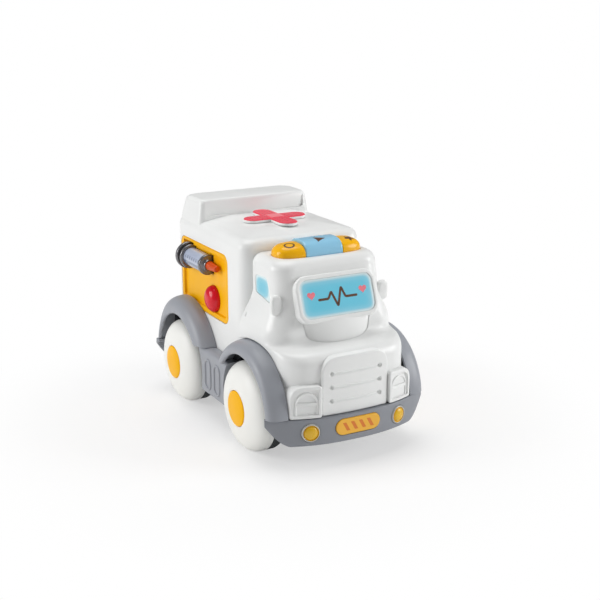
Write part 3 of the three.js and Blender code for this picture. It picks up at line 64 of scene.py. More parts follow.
# the car's main stations, read from the frame
wheelLow, wheelHigh = nodeBox("front_wheel_right")
rearWheelLow, rearWheelHigh = nodeBox("rear_wheel_right")
boxLow, boxHigh = nodeBox("box_shell")
bumperLow, bumperHigh = nodeBox("front_bumper")
rearBumperLow, rearBumperHigh = nodeBox("rear_bumper")
panelLow, panelHigh = nodeBox("side_panel_left")
wheelRadius = (wheelHigh[2] - wheelLow[2]) / 2
axleZ = wheelRadius
frontAxleY = (wheelLow[1] + wheelHigh[1]) / 2
rearAxleY = (rearWheelLow[1] + rearWheelHigh[1]) / 2
bothAxles = (frontAxleY, rearAxleY)
wheelFaceX = -wheelLow[0]
bodyHalfWidth = boxHigh[0]
archRadius = wheelRadius + 4.9
bumperFrontY, bumperRearY = bumperLow[1], rearBumperHigh[1]
boxFrontY, boxRearY = boxLow[1], boxHigh[1] - 1.8
cabRearY = nodeBox("cab_shell")[1][1]
hoodFrontY = bumperFrontY + 5
shellBottomZ = axleZ + 4
boxRoofZ = axleZ + 100
cabRoofZ = axleZ + 92.5
hoodTopZ = axleZ + 42
cabHalfWidth = bodyHalfWidth - 6.2
cabFootY = hoodFrontY + 25.8


def ease(t):
    c = np.clip(t, 0, 1)
    return c * c * (3 - 2 * c)


def blend(a, b, t):
    return a + (b - a) * t


def power(value, exponent):
    return np.sign(value) * np.abs(value) ** exponent


def quarter(count):
    return np.linspace(0, pi / 2, count)


def circle(count):
    return np.linspace(0, 2 * pi, count, endpoint=False)


def gridFaces(rows, cols, wrapRows):
    i, j = np.meshgrid(np.arange(rows if wrapRows else rows - 1), np.arange(cols), indexing="ij")
    k, n = (j + 1) % cols, (i + 1) % rows
    return np.stack([i * cols + j, i * cols + k, n * cols + k, n * cols + j], -1).reshape(-1, 4)


# a sheet is a grid of points (rows, columns, 3) whose columns close on themselves;
# its first and last rows are capped unless the rows close too
def sheet(x, y, z, wrapRows=False):
    return np.stack(np.broadcast_arrays(x, y, z), -1), wrapRows


def meshFrom(name, sheets):
    points, faces, start = [], [], 0
    for grid, wrapRows in sheets:
        rows, cols = grid.shape[:2]
        points.append(grid.reshape(-1, 3))
        faces += (gridFaces(rows, cols, wrapRows) + start).tolist()
        if not wrapRows:
            lastRow = start + (rows - 1) * cols
            faces += [list(range(start, start + cols)), list(range(lastRow, lastRow + cols))]
        start += rows * cols
    mesh = bpy.data.meshes.new(name)
    mesh.from_pydata((np.concatenate(points) * metre).tolist(), [], faces)
    shape = bmesh.new()
    shape.from_mesh(mesh)
    bmesh.ops.remove_doubles(shape, verts=shape.verts, dist=2e-6)
    bmesh.ops.dissolve_degenerate(shape, edges=shape.edges, dist=1e-7)
    bmesh.ops.recalc_face_normals(shape, faces=shape.faces)
    shape.to_mesh(mesh)
    shape.free()
    return mesh


def newObject(name, data):
    obj = bpy.data.objects.new(name, data)
    bpy.context.scene.collection.objects.link(obj)
    return obj


def formed(name, sheets):
    return newObject(name, meshFrom(name, sheets))


# cuts or joins with helper solids that are then thrown away
def trim(obj, sheets, operation="DIFFERENCE", overlapping=False):
    helper = formed("helper", sheets)
    change = obj.modifiers.new("trim", "BOOLEAN")
    change.operation = operation
    change.solver = "EXACT"
    change.use_self = overlapping
    change.object = helper
    bpy.context.view_layer.update()
    done = bpy.data.meshes.new_from_object(obj.evaluated_get(bpy.context.evaluated_depsgraph_get()))
    obj.modifiers.clear()
    old, obj.data = obj.data, done
    used = helper.data
    bpy.data.objects.remove(helper)
    for mesh in (old, used):
        bpy.data.meshes.remove(mesh)


# a further closed mesh joins the object's own as it is
def addMesh(obj, more):
    shape = bmesh.new()
    shape.from_mesh(obj.data)
    shape.from_mesh(more)
    shape.to_mesh(obj.data)
    shape.free()
    bpy.data.meshes.remove(more)


def finishPiece(obj, material, node=None, body="vehicle", angle=32):
    mesh = obj.data
    mesh.polygons.foreach_set("use_smooth", np.ones(len(mesh.polygons), dtype=bool))
    mesh.set_sharp_from_angle(angle=radians(angle))
    mesh.materials.clear()
    mesh.materials.append(material)
    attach(obj, body)
    if node:
        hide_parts(node)
    return obj


def piece(name, sheets, material, node=None, body="vehicle", angle=32):
    return finishPiece(formed(name, sheets), material, node, body, angle)


# plan rings for many levels at once: rounded rectangles, front edge bowed by x squared
def planRings(halfWidth, front, rear, frontRadius, rearRadius, bow=0.0, arc=9, run=12):
    given = (halfWidth, front, rear, frontRadius, rearRadius, bow)
    levels = np.broadcast_arrays(*[np.atleast_1d(np.asarray(v, float)) for v in given])
    halfWidth, front, rear, frontRadius, rearRadius, bow = [v[:, None] for v in levels]
    t = np.linspace(0, 1, run + 1)[None, 1:-1]
    corners = []
    for k, (sx, edge, sy, radius) in enumerate(((1, rear, 1, rearRadius), (-1, rear, 1, rearRadius),
                                                (-1, front, -1, frontRadius), (1, front, -1, frontRadius))):
        angle = quarter(arc + 1)[None] + k * pi / 2
        corners.append((sx * (halfWidth - radius) + radius * np.cos(angle),
                        edge - sy * radius + radius * np.sin(angle)))
    xs, ys = [], []
    for k in range(4):
        (x, y), (nextX, nextY) = corners[k], corners[(k + 1) % 4]
        xs += [x, blend(x[:, -1:], nextX[:, :1], t)]
        ys += [y, blend(y[:, -1:], nextY[:, :1], t)]
    x, y = np.concatenate(xs, 1), np.concatenate(ys, 1)
    return x, y + bow * (x / halfWidth) ** 2 * (rear - y) / (rear - front)


# rounded rectangles about the origin: four quarter circles joined by straight runs
def roundedRect(halfA, halfB, radius, arc=10, run=8):
    return planRings(halfA, -halfB, halfB, radius, radius, 0.0, arc, run)


# a profile is joined from single points and curves, each given as (radius, station)
def profile(*parts):
    return [np.concatenate([np.atleast_1d(part[k]).astype(float) for part in parts]) for k in (0, 1)]


# turned shape: radius and station pairs carried round a circle about a line along one axis
def turned(axis, radius, station, middle, count, wrapRows=False):
    turn = circle(count)[None]
    r, s = [np.asarray(v, float)[:, None] for v in (radius, station)]
    places = [middle[0] + r * np.cos(turn), middle[1] + r * np.sin(turn)]
    places.insert(axis, s + 0 * turn)
    return sheet(*places, wrapRows)


# plain cylinder from one station to another
def rod(axis, radius, start, end, middle, count):
    return turned(axis, [core, radius, radius, core], [start, start, end, end], middle, count)


# the same closed outline with evenly spaced points
def evenly(a, b, count):
    a, b = [np.append(v, np.ravel(v)[0]) for v in (a, b)]
    travelled = np.concatenate([[0], np.cumsum(np.hypot(np.diff(a), np.diff(b)))])
    places = np.linspace(0, travelled[-1], count, endpoint=False)
    return np.interp(places, travelled, a), np.interp(places, travelled, b)


# profile with rounded corners: each corner of a polygon becomes an arc-like quadratic curve
def roundedProfile(corners, radius, count=6, wrap=True):
    corners = np.asarray(corners, float)
    before, after = np.roll(corners, 1, 0) - corners, np.roll(corners, -1, 0) - corners
    lengths = [np.linalg.norm(v, axis=1, keepdims=True) for v in (before, after)]
    wished = np.broadcast_to(np.asarray(radius, float), len(corners))[:, None]
    reach = np.minimum(wished, 0.48 * np.minimum(*lengths))
    start, end = corners + before / lengths[0] * reach, corners + after / lengths[1] * reach
    t = np.linspace(0, 1, count + 1)[None, :, None]
    curve = (1 - t) ** 2 * start[:, None] + 2 * t * (1 - t) * corners[:, None] + t ** 2 * end[:, None]
    if wrap:
        return curve.reshape(-1, 2).T
    return np.concatenate([corners[:1], curve[1:-1].reshape(-1, 2), corners[-1:]]).T


def slab(x0, x1, y0, y1, z0, z1):
    x, y = np.array([[x0, x1, x1, x0]]), np.array([[y0, y0, y1, y1]])
    return sheet(x, y, np.array([[z0], [z1]]))


# egg-like block: a sphere whose sines and cosines are raised to a power below one
def pillow(middle, half, square):
    v = np.linspace(-pi / 2, pi / 2, 24)[:, None]
    u = circle(40)[None]
    wide = power(np.cos(v), square)
    return sheet(middle[0] + half[0] * wide * power(np.cos(u), square),
                 middle[1] + half[1] * wide * power(np.sin(u), square),
                 middle[2] + half[2] * power(np.sin(v), square))


# round tube along a closed path of points
def tube(x, y, z, radius, across, count=14):
    path = np.stack(np.broadcast_arrays(x, y, z), -1).reshape(-1, 3)
    along = np.roll(path, -1, 0) - np.roll(path, 1, 0)
    along /= np.linalg.norm(along, axis=1, keepdims=True)
    side = np.cross(along, across)[:, None]
    turn = circle(count)[None, :, None]
    return path[:, None] + radius * (np.cos(turn) * side + np.sin(turn) * np.asarray(across, float)), True


# plate: rings shrink from the outline to its middle on the face, and round the edge to the back;
# the columns are (a, b, depth), with depth growing inward from the face
def plateRings(a, b, edge, thickness, rings=14, relief=None, middle=(0.0, 0.0), points=160):
    a, b = evenly(a, b, points)
    inA, inB = a - middle[0], b - middle[1]
    alongA, alongB = [np.roll(v, -1) - np.roll(v, 1) for v in (inA, inB)]
    length = np.hypot(alongA, alongB)
    outA, outB = alongB / length, -alongA / length
    coreA, coreB = inA - edge * outA, inB - edge * outB
    share = np.linspace(0, 1, rings + 1)[1:, None]
    faceA, faceB = middle[0] + share * coreA, middle[1] + share * coreB
    faceD = relief(faceA, faceB, share + 0 * faceA) if relief else 0 * faceA
    turn = quarter(6)[1:, None]
    rimA = middle[0] + coreA + edge * outA * np.sin(turn)
    rimB = middle[1] + coreB + edge * outB * np.sin(turn)
    rimD = edge * (1 - np.cos(turn)) + 0 * rimA
    return (np.concatenate([faceA, rimA, rimA[-1:]]), np.concatenate([faceB, rimB, rimB[-1:]]),
            np.concatenate([faceD, rimD, thickness + 0 * rimA[-1:]]))


def colour(r, g, b):
    value = np.array([r, g, b]) / 255
    linear = np.where(value <= 0.04045, value / 12.92, ((value + 0.055) / 1.055) ** 2.4)
    return (*linear.tolist(), 1.0)


def tint(shade, factor):
    return (*[min(c * factor, 1.0) for c in shade[:3]], 1.0)


class Finish:
    # one procedural material: a shader, its texture coordinates and short ways to add nodes
    def __init__(self, name):
        self.material = bpy.data.materials.new(name)
        self.material.use_nodes = True
        self.nodes = self.material.node_tree.nodes
        self.link = self.material.node_tree.links.new
        self.shader = self.nodes["Principled BSDF"]
        self.place = self.nodes.new("ShaderNodeTexCoord")

    def node(self, kind, **values):
        made = self.nodes.new(kind)
        for key, value in values.items():
            made.inputs[key.replace("_", " ")].default_value = value
        return made

    def axes(self, source="Object"):
        made = self.node("ShaderNodeSeparateXYZ")
        self.link(self.place.outputs[source], made.inputs["Vector"])
        return [made.outputs[axis] for axis in "XYZ"]

    def noise(self, scale, detail=3.0):
        made = self.node("ShaderNodeTexNoise", Scale=scale, Detail=detail)
        self.link(self.place.outputs["Object"], made.inputs["Vector"])
        return made.outputs["Fac"]

    def ramp(self, source, stops, mode="LINEAR"):
        made = self.node("ShaderNodeValToRGB")
        made.color_ramp.interpolation = mode
        keys = made.color_ramp.elements
        while len(keys) < len(stops):
            keys.new(0.5)
        for key, (position, shade) in zip(keys, stops):
            key.position = position
            key.color = shade
        self.link(source, made.inputs["Fac"])
        return made.outputs["Color"]

    # a colour that drifts between two shades in soft clouds
    def cloudy(self, low, high, scale=34.0):
        return self.ramp(self.noise(scale), ((0.3, low), (0.7, high)))

    def span(self, source, low, high, fromLow=0.3, fromHigh=0.7):
        made = self.node("ShaderNodeMapRange", From_Min=fromLow, From_Max=fromHigh, To_Min=low, To_Max=high)
        self.link(source, made.inputs["Value"])
        return made.outputs["Result"]

    def math(self, operation, *values):
        made = self.node("ShaderNodeMath")
        made.operation = operation
        for socket, value in zip(made.inputs, values):
            if isinstance(value, (int, float)):
                socket.default_value = value
            else:
                self.link(value, socket)
        return made.outputs["Value"]

    def plus(self, a, b):
        return self.math("ADD", a, b)

    def minus(self, a, b):
        return self.math("SUBTRACT", a, b)

    def times(self, a, b):
        return self.math("MULTIPLY", a, b)

    def below(self, a, b):
        return self.math("LESS_THAN", a, b)

    def above(self, a, b):
        return self.math("GREATER_THAN", a, b)

    def size(self, a):
        return self.math("ABSOLUTE", a)

    def distance(self, a, b):
        return self.math("SQRT", self.plus(self.times(a, a), self.times(b, b)))

    def mix(self, share, a, b):
        made = self.node("ShaderNodeMix")
        made.data_type = "RGBA"
        self.link(share, made.inputs[0])
        for socket, value in ((made.inputs[6], a), (made.inputs[7], b)):
            if isinstance(value, tuple):
                socket.default_value = value
            else:
                self.link(value, socket)
        return made.outputs[2]

    # colour, drifting roughness, fine moulded grain and the shader's plain values
    def done(self, shade, roughLow, roughHigh, scale=160.0, grain=0.0, **values):
        inputs = self.shader.inputs
        self.link(shade, inputs["Base Color"])
        self.link(self.span(self.noise(scale), roughLow, roughHigh), inputs["Roughness"])
        if grain:
            bump = self.node("ShaderNodeBump", Strength=grain, Distance=0.00005)
            self.link(self.noise(2600.0, 2.0), bump.inputs["Height"])
            self.link(bump.outputs["Normal"], inputs["Normal"])
        for key, value in values.items():
            inputs[key.replace("_", " ")].default_value = value
        return self.material


# moulded plastic: colour and roughness drift a little, each by itself, with a faint moulded grain
def plastic(name, rgb, roughness, drift, grain, coat=0.0, metal=0.0, sheen=0.4):
    finish = Finish(name)
    shade = colour(*rgb)
    return finish.done(finish.cloudy(tint(shade, 1 - drift), tint(shade, 1 + drift)),
                       roughness * 0.85, roughness * 1.15, grain=grain,
                       Coat_Weight=coat, Coat_Roughness=0.08, Metallic=metal, Specular_IOR_Level=sheen)


whiteShade, greyShade, amberShade = (240, 241, 240), (156, 159, 166), (253, 187, 6)
whitePlastic = plastic("whitePlastic", whiteShade, 0.34, 0.012, 0.03, 0.15)
wheelPlastic = plastic("wheelPlastic", (243, 243, 239), 0.4, 0.01, 0.02)
greyPlastic = plastic("greyPlastic", greyShade, 0.36, 0.02, 0.05)
bumperPlastic = plastic("bumperPlastic", (143, 146, 153), 0.4, 0.02, 0.05)
amberPlastic = plastic("amberPlastic", amberShade, 0.36, 0.012, 0.01, sheen=0.15)
redPlastic = plastic("redPlastic", (222, 12, 40), 0.2, 0.03, 0.01)
keyBluePlastic = plastic("keyBluePlastic", (150, 208, 238), 0.24, 0.02, 0.01, 0.5)
keyAmberPlastic = plastic("keyAmberPlastic", amberShade, 0.3, 0.012, 0.01, 0.35, sheen=0.2)
orangePlastic = plastic("orangePlastic", (214, 78, 14), 0.32, 0.03, 0.03)
treadRubber = plastic("treadRubber", (62, 66, 67), 0.7, 0.06, 0.25)
darkGloss = plastic("darkGloss", (128, 127, 130), 0.24, 0.05, 0.01, 0.3, 0.7)
inkBrown = plastic("inkBrown", (96, 62, 40), 0.35, 0.04, 0.02)
pinkInk = plastic("pinkInk", (246, 128, 140), 0.35, 0.03, 0.02)
steelFinish = plastic("steelFinish", (186, 189, 193), 0.3, 0.03, 0.04, metal=1.0)
boardFinish = plastic("boardFinish", (31, 107, 60), 0.4, 0.08, 0.05)
siliconeFinish = plastic("siliconeFinish", (200, 204, 200), 0.6, 0.03, 0.08)
cellFinish = plastic("cellFinish", (63, 111, 78), 0.35, 0.05, 0.02)
darkPlastic = plastic("darkPlastic", (60, 64, 66), 0.5, 0.05, 0.1)
print("plastics mixed")


# printed blue: the UV map runs -1..1 across the pane,
# and the colour pales as |u| and |v| to a power reach the edge
def paneBlue(name, middle, edge, powers):
    finish = Finish(name)
    across, upright = [finish.math("POWER", finish.size(w), p) for w, p in zip(finish.axes("UV"), powers)]
    wave = finish.plus(finish.plus(across, upright), finish.times(finish.noise(60.0), 0.08))
    near = tuple(blend(np.array(middle), np.array(edge), 0.15))
    shade = finish.ramp(wave, ((0.0, middle), (0.25, near), (0.9, edge)), "EASE")
    return finish.done(shade, 0.16, 0.24, 150.0, Coat_Weight=0.4, Coat_Roughness=0.06)


screenBlue = paneBlue("screenBlue", colour(116, 212, 238), colour(226, 243, 247), (13.0, 6.5))
windowBlue = paneBlue("windowBlue", colour(106, 200, 224), colour(226, 243, 246), (3.2, 3.2))


# the UV map spreads a piece's own (a, b) places over -1..1
def spreadUv(obj, middle, axisA, axisB, halfA, halfB):
    mesh = obj.data
    points = np.empty(len(mesh.vertices) * 3)
    mesh.vertices.foreach_get("co", points)
    away = points.reshape(-1, 3) / metre - np.asarray(middle)
    uv = np.stack([away @ np.asarray(axisA) / halfA, away @ np.asarray(axisB) / halfB], -1)
    corner = np.empty(len(mesh.loops), dtype=np.int32)
    mesh.loops.foreach_get("vertex_index", corner)
    mesh.uv_layers.new(name="UVMap").data.foreach_set("uv", uv[corner].ravel())


# wheels: the outer half is a superellipse dome round the cap's seat, the inner half a rubber ring
# with squared cosine grooves; the cap is a low superellipse dome
wheelForm = {"width": 22.0, "tread": 8.4, "cap": 11.2, "recess": 2.3, "dome": 1.2, "capEdge": 0.35,
             "capSquare": 0.9, "rim": 3.0, "hub": 7.0, "hubBack": 2.4, "bulge": 10.6, "seatEdge": 0.5,
             "square": 2 / 2.1, "treadThick": 6.0, "groove": 0.32}


def wheelSet(end, axleY, word, side):
    form, r, width = wheelForm, wheelRadius, wheelForm["width"]

    def add(part, outline, count, material, angle=40, wrapRows=False):
        radius, depth = outline
        shape = turned(alongX, radius, side * (wheelFaceX - depth), (axleY, axleZ), count, wrapRows)
        piece(f"{end}{part}{word.title()}", [shape], material, f"{end}_{part.lower()}_{word}",
              f"{end}_axle_set", angle)

    edge, back, inner = width - form["tread"], width - form["hubBack"], r - form["rim"]
    seat, recess = form["cap"] + gap, form["recess"]
    t = quarter(26)
    domeFoot = seat + form["seatEdge"]
    domeR = domeFoot + (r - domeFoot) * np.sin(t) ** form["square"]
    domeDepth = form["bulge"] - (form["bulge"] - 0.25) * np.cos(t) ** form["square"]
    add("Wheel", profile((core, recess), (seat, recess), (seat, 0.5), (seat + 0.15, 0.32), (domeR, domeDepth),
                         (r, edge - 0.3), (r - 0.3, edge), (inner, edge), (inner, 10), (form["hub"], 5.5),
                         (form["hub"], back), (core, back)), 128, wheelPlastic)
    start, foot = edge + gap, r - form["treadThick"]
    ribs = np.linspace(start + 1.2, width - 3.2, 41)
    ribDepth = form["groove"] * (0.5 - 0.5 * np.cos(np.linspace(0, 6 * pi, 41))) ** 2
    add("Tread", profile((foot, start), (r - 0.6, start), (r - 0.1, start + 0.4), (r - 0.1 - ribDepth, ribs),
                         (r - 0.3, back), (r - 0.9, width - 1), (r - 2, width), (foot, width)),
        128, treadRubber, wrapRows=True)
    bend, square = quarter(18), form["capSquare"]
    capR = np.maximum(form["cap"] * np.sin(bend) ** square, core)
    capDepth = form["capEdge"] - (form["dome"] + form["capEdge"]) * np.cos(bend) ** square
    add("Cap", profile((capR, capDepth), (form["cap"], recess - gap), (core, recess - gap)),
        96, amberPlastic, 32)


for end, axleY in (("front", frontAxleY), ("rear", rearAxleY)):
    for word, side in rightAndLeft:
        wheelSet(end, axleY, word, side)
print("wheels turned")


# wheel arches: a superellipse section carried round the axle, thinner towards the bumper, with a rounded lip;
# the end angles follow each radius so that both ends are level
archForm = {"root": bodyHalfWidth + gap, "lip": bodyHalfWidth + 12.2, "half": 1.4, "square": 0.84,
            "stepTop": 20.0}
# each end's axle, way to its bumper, depth, depth at the foot and bumper's top
archEnds = (("front", frontAxleY, -1, 8.5, 8.0, bumperHigh[2]),
            ("rear", rearAxleY, 1, 11.9, 3.6, rearBumperHigh[2]))


def archSwell(foot, full, angle):
    return blend(foot, full, ease((angle - radians(12)) / radians(50)))


def roundAxle(side, x, r, angle, axleY, toBumper):
    return sheet(side * x + 0 * angle, axleY + toBumper * r * np.cos(angle), axleZ + r * np.sin(angle))


def archSection(top):
    root, lip, half, square = [archForm[key] for key in ("root", "lip", "half", "square")]
    t = quarter(22)
    bend = np.linspace(0, pi, 12)[1:-1]
    x, r = profile((root + (lip - root) * np.sin(t) ** square, half + (top - half) * np.cos(t) ** square),
                   (lip - half + half * np.cos(bend), half - half * np.sin(bend)),
                   (root + (lip - 2 * half - root) * np.sin(t[::-1]) ** square,
                    half + (top - 3 * half) * np.cos(t[::-1]) ** square))
    return x[None], archRadius + r[None]


def archSheet(side, axleY, toBumper, depth, footDepth, bumperTop):
    x, fullR = archSection(depth)
    footR = archSection(footDepth)[1]
    low = np.arcsin(np.clip((bumperTop + gap - axleZ) / footR, -1, 1))
    high = pi - np.arcsin((archForm["stepTop"] + gap) / fullR)
    angle = blend(low, high, np.linspace(0, 1, 72)[:, None])
    return roundAxle(side, x, archSwell(footR, fullR, angle), angle, axleY, toBumper)


for word, side in rightAndLeft:
    for end, *place in archEnds:
        piece(f"{end}Arch{word.title()}", [archSheet(side, *place)], greyPlastic,
              f"{end}_fender_{word}", angle=40)
print("wheel arches carried round")


# bumpers: a rounded face and ledge section carried along a plan bowed by |x| to a power,
# the lower edge rising to the tips
bumperForm = {"half": bodyHalfWidth + 13, "sag": 15.0, "rearSag": 3.6, "bend": 2.4, "taper": 14.0, "tip": 4.0,
              "wall": 3.0, "reach": 15.0, "ledge": 0.78, "lip": 2.6}


def bumperBow(x, sag=bumperForm["sag"]):
    return sag * (np.abs(x) / bumperForm["half"]) ** bumperForm["bend"]


def bumperSheet(frontY, outward, sag, lowZ, highZ):
    form, wall, reach, ledge = bumperForm, bumperForm["wall"], bumperForm["reach"], bumperForm["ledge"]
    x = form["half"] * np.sin(np.linspace(-1, 1, 121) * pi * 0.47) / np.sin(pi * 0.47)
    share = np.clip((np.abs(x) - form["half"] + form["taper"]) / form["taper"], 0, 1)
    low = lowZ + (highZ - lowZ - form["tip"]) * share ** 1.7
    corners = ((-wall, 0), (0, 0), (0, 1), (-reach, 1), (-reach, 0.8), (-wall, 0.8))
    out, rise = roundedProfile(corners, (0.5, 3, 0.9, 0.5, 0.5, 0.5), 8)
    bowed = frontY - outward * bumperBow(x, sag)
    slope = np.gradient(bowed, x)
    inward = out[None] / np.hypot(1, slope)[:, None]
    lipZ = highZ - form["lip"]
    face = blend(low[:, None], lipZ, np.clip(rise, 0, ledge)[None] / ledge)
    z = np.where(rise < ledge, face, lipZ + form["lip"] * (rise[None] - ledge) / (1 - ledge))
    return sheet(x[:, None] - outward * slope[:, None] * inward * 0.6, bowed[:, None] + outward * inward, z)


def wheelSpaces(radius, fromX, axles=bothAxles):
    return [rod(alongX, radius, side * fromX, side * (wheelFaceX + 12), (axleY, axleZ), 96)
            for word, side in rightAndLeft for axleY in axles]


bumperMidZ = (bumperLow[2] + bumperHigh[2]) / 2
lampForm = {"x": 31.0, "radius": 5.8, "z": bumperMidZ, "ring": (0.82, 0.86)}
plateForm = {"half": 15.5, "high": 5.2, "z": bumperMidZ + 1, "pitch": 5.6, "bar": 2.7, "slant": 0.55}
pocketForm = {"deep": 1.7, "proud": -5.0, "thick": 1.4}
lampTurn = np.arctan(bumperBow(lampForm["x"]) * bumperForm["bend"] / lampForm["x"])


# a shape turned about the bumper lamp's own axis, which leans outward with the bumper's face
def lampTurned(radius, depth, side):
    turn = circle(64)[None]
    r, d = [np.asarray(v, float)[:, None] for v in (radius, depth)]
    c, s = np.cos(side * lampTurn), np.sin(side * lampTurn)
    a = r * np.cos(turn)
    seatY = bumperFrontY + bumperBow(lampForm["x"])
    return sheet(side * lampForm["x"] + a * c - d * s, seatY + a * s + d * c,
                 lampForm["z"] + r * np.sin(turn))


def bumperPockets():
    high, r = plateForm["high"] + gap, lampForm["radius"] + gap
    near, far = pocketForm["proud"], pocketForm["deep"]
    a, b = roundedRect(plateForm["half"] + gap, high, high)
    plate = sheet(a, bumperFrontY + np.array([near, far])[:, None], plateForm["z"] + b)
    return [plate] + [lampTurned([core, r, r, core], [near, near, far, far], side)
                      for word, side in rightAndLeft]


for end, place, sag, axleY, pockets in (
        ("front", (bumperFrontY, -1), "sag", frontAxleY, bumperPockets()),
        ("rear", (bumperRearY, 1), "rearSag", rearAxleY, [])):
    low, high = nodeBox(f"{end}_bumper")
    bumper = formed(f"{end}Bumper", [bumperSheet(*place, bumperForm[sag], low[2], high[2])])
    trim(bumper, wheelSpaces(archRadius - 1, 27, [axleY]) + pockets)
    finishPiece(bumper, bumperPlastic, f"{end}_bumper")


# lamp colour: ochre inside, pale grey where the distance to the axis passes the ring's share of the radius;
# the ring stands for the bumper's moulded rim, and its pale grey is a painted highlight on that rim
def lampWithPaintedRimHighlight(name, lens, ring):
    finish = Finish(name)
    x, y, z = finish.axes()
    across = finish.times(finish.minus(finish.size(x), lampForm["x"] * metre), float(1 / np.cos(lampTurn)))
    reach = finish.distance(across, finish.minus(z, lampForm["z"] * metre))
    share = finish.span(reach, 0.0, 1.0, *[part * lampForm["radius"] * metre for part in lampForm["ring"]])
    lensShade = finish.cloudy(tint(lens, 0.96), tint(lens, 1.03), 60.0)
    return finish.done(finish.mix(share, lensShade, ring), 0.24, 0.32, grain=0.01)


# bumper lamps: a ring round a shallow dome
# the pale grey ring colour is a painted highlight on the lamp's rim
ochrePlastic = lampWithPaintedRimHighlight("ochrePlastic", colour(232, 184, 38), colour(196, 196, 190))
for word, side in rightAndLeft:
    r = lampForm["radius"]
    bend = quarter(14)[1:]
    radius, depth = profile((core, -1.7), (0.74 * r * np.sin(bend), 0.1 - 1.8 * np.cos(bend)), (0.78 * r, 0),
                            (0.82 * r, -0.5), (0.88 * r, -0.75), (0.95 * r, -0.55), (r, 0),
                            (r, pocketForm["thick"]), (core, pocketForm["thick"]))
    piece(f"bumperLamp{word.title()}", [lampTurned(radius, depth, side)], ochrePlastic,
          f"bumper_lamp_{word}")


# bumper plate: a long round-ended plate with four slanted bars, bands of the cosine of x plus a share of z
def stripedAmber(name, plain, stripe):
    finish = Finish(name)
    x, y, z = finish.axes()
    upward = finish.minus(z, plateForm["z"] * metre)
    slant = finish.plus(x, finish.times(upward, plateForm["slant"]))
    wave = finish.math("COSINE", finish.times(slant, 2 * pi / (plateForm["pitch"] * metre)))
    inside = finish.below(finish.size(slant), 2 * plateForm["pitch"] * metre)
    level = finish.below(finish.size(upward), plateForm["bar"] * metre)
    band = finish.times(finish.times(inside, level), finish.span(wave, 1.0, 0.0, -0.3, -0.15))
    shade = finish.mix(band, finish.cloudy(tint(plain, 0.97), plain, 40.0), stripe)
    return finish.done(shade, 0.28, 0.36, 150.0, Coat_Weight=0.2)


faceA, faceB, faceD = plateRings(*roundedRect(plateForm["half"], plateForm["high"], plateForm["high"]),
                                 0.5, pocketForm["thick"])
piece("bumperPlate", [sheet(faceA, bumperFrontY + faceD, plateForm["z"] + faceB)],
      stripedAmber("plateAmber", colour(246, 184, 52), colour(222, 120, 28)), "bumper_plate")
print("bumpers carried along their bow")

# box body: plan rings with a quarter-round roof edge, then a crown that rises as 1 - (1 - t) squared
boxForm = {"corner": 8.4, "roofEdge": 7.0, "crown": 2.5, "crownInset": bodyHalfWidth * 0.62}


def boxSheet():
    form, edge = boxForm, boxForm["roofEdge"]
    bend = quarter(13)
    rise = np.linspace(0, 1, 13)[1:]
    walls = np.linspace(shellBottomZ, boxRoofZ - edge, 24)[:-1]
    inset, z = profile((0 * walls, walls), (edge * (1 - np.cos(bend)), boxRoofZ - edge * (1 - np.sin(bend))),
                       (blend(edge, form["crownInset"], rise),
                        boxRoofZ + form["crown"] * (1 - (1 - rise) ** 2)))
    corner = np.maximum(form["corner"] - inset * 0.6, 2)
    x, y = planRings(bodyHalfWidth - inset, boxFrontY + inset, boxRearY - inset, corner, corner, run=22)
    return sheet(x, y, z[:, None])


# raised rear roof: sides draw in with height and end in a quarter ellipse
humpForm = {"length": 39.0, "top": boxRoofZ + 14, "foot": boxRoofZ - 6, "edge": 4.0, "inset": 0.8,
            "lean": 2.0, "roundIn": 3.0, "frontLean": 0.8, "rearLean": 2.2, "recess": 2.2,
            "recessHalf": bodyHalfWidth - 6}
humpFrontY = boxRearY - humpForm["length"]


def humpSheet():
    form, top, edge, lean = humpForm, humpForm["top"], humpForm["edge"], humpForm["lean"]
    low = np.linspace(0, 1, 9)[:-1]
    bend = quarter(13)
    inset, z = profile((lean * low ** 1.4, blend(form["foot"], top - edge, low)),
                       (lean + form["roundIn"] * (1 - np.cos(bend)), top - edge * (1 - np.sin(bend))))
    x, y = planRings(bodyHalfWidth - form["inset"] - inset, humpFrontY + inset * form["frontLean"],
                     boxRearY - form["inset"] - inset * form["rearLean"], 4.0, 8.0, run=22)
    return sheet(x, y, z[:, None])


# finger recess across the hump's front, a prism with rounded lower corners
def humpRecess():
    half, low, high = humpForm["recessHalf"], boxRoofZ + boxForm["crown"] + 0.6, humpForm["top"] + 5
    a, b = roundedProfile(((-half, low), (half, low), (half, high), (-half, high)), (3, 3, 0.1, 0.1))
    return sheet(a[None], humpFrontY + np.array([-5, humpForm["recess"]])[:, None], b[None])


panelForm = {"front": panelLow[1] + 1.2, "rear": panelHigh[1] - 1.2, "low": panelLow[2] + 1.2,
             "high": panelHigh[2] - 1.2, "corner": 6.0, "rim": 3.4, "recess": 1.8, "soft": 0.6, "thick": 9.0}
panelMidY = (panelForm["front"] + panelForm["rear"]) / 2
panelMidZ = (panelForm["low"] + panelForm["high"]) / 2
panelHalfY = (panelForm["rear"] - panelForm["front"]) / 2
panelHalfZ = (panelForm["high"] - panelForm["low"]) / 2


def panelPocket(side):
    a, b = roundedRect(panelHalfY + gap, panelHalfZ + gap, panelForm["corner"] + gap)
    return sheet(side * np.array([30, 48])[:, None], panelMidY + a, panelMidZ + b)


# rear doors: a rounded frame line and a middle line, cut as narrow grooves, and two pillow handles
doorForm = {"half": bodyHalfWidth - 11, "low": shellBottomZ + 14, "high": boxRoofZ - 14, "corner": 5.0,
            "line": 0.6, "deep": 0.8, "handleX": 5.0, "handleZ": (shellBottomZ + boxRoofZ) / 2,
            "handle": (1.5, 1.5, 6)}


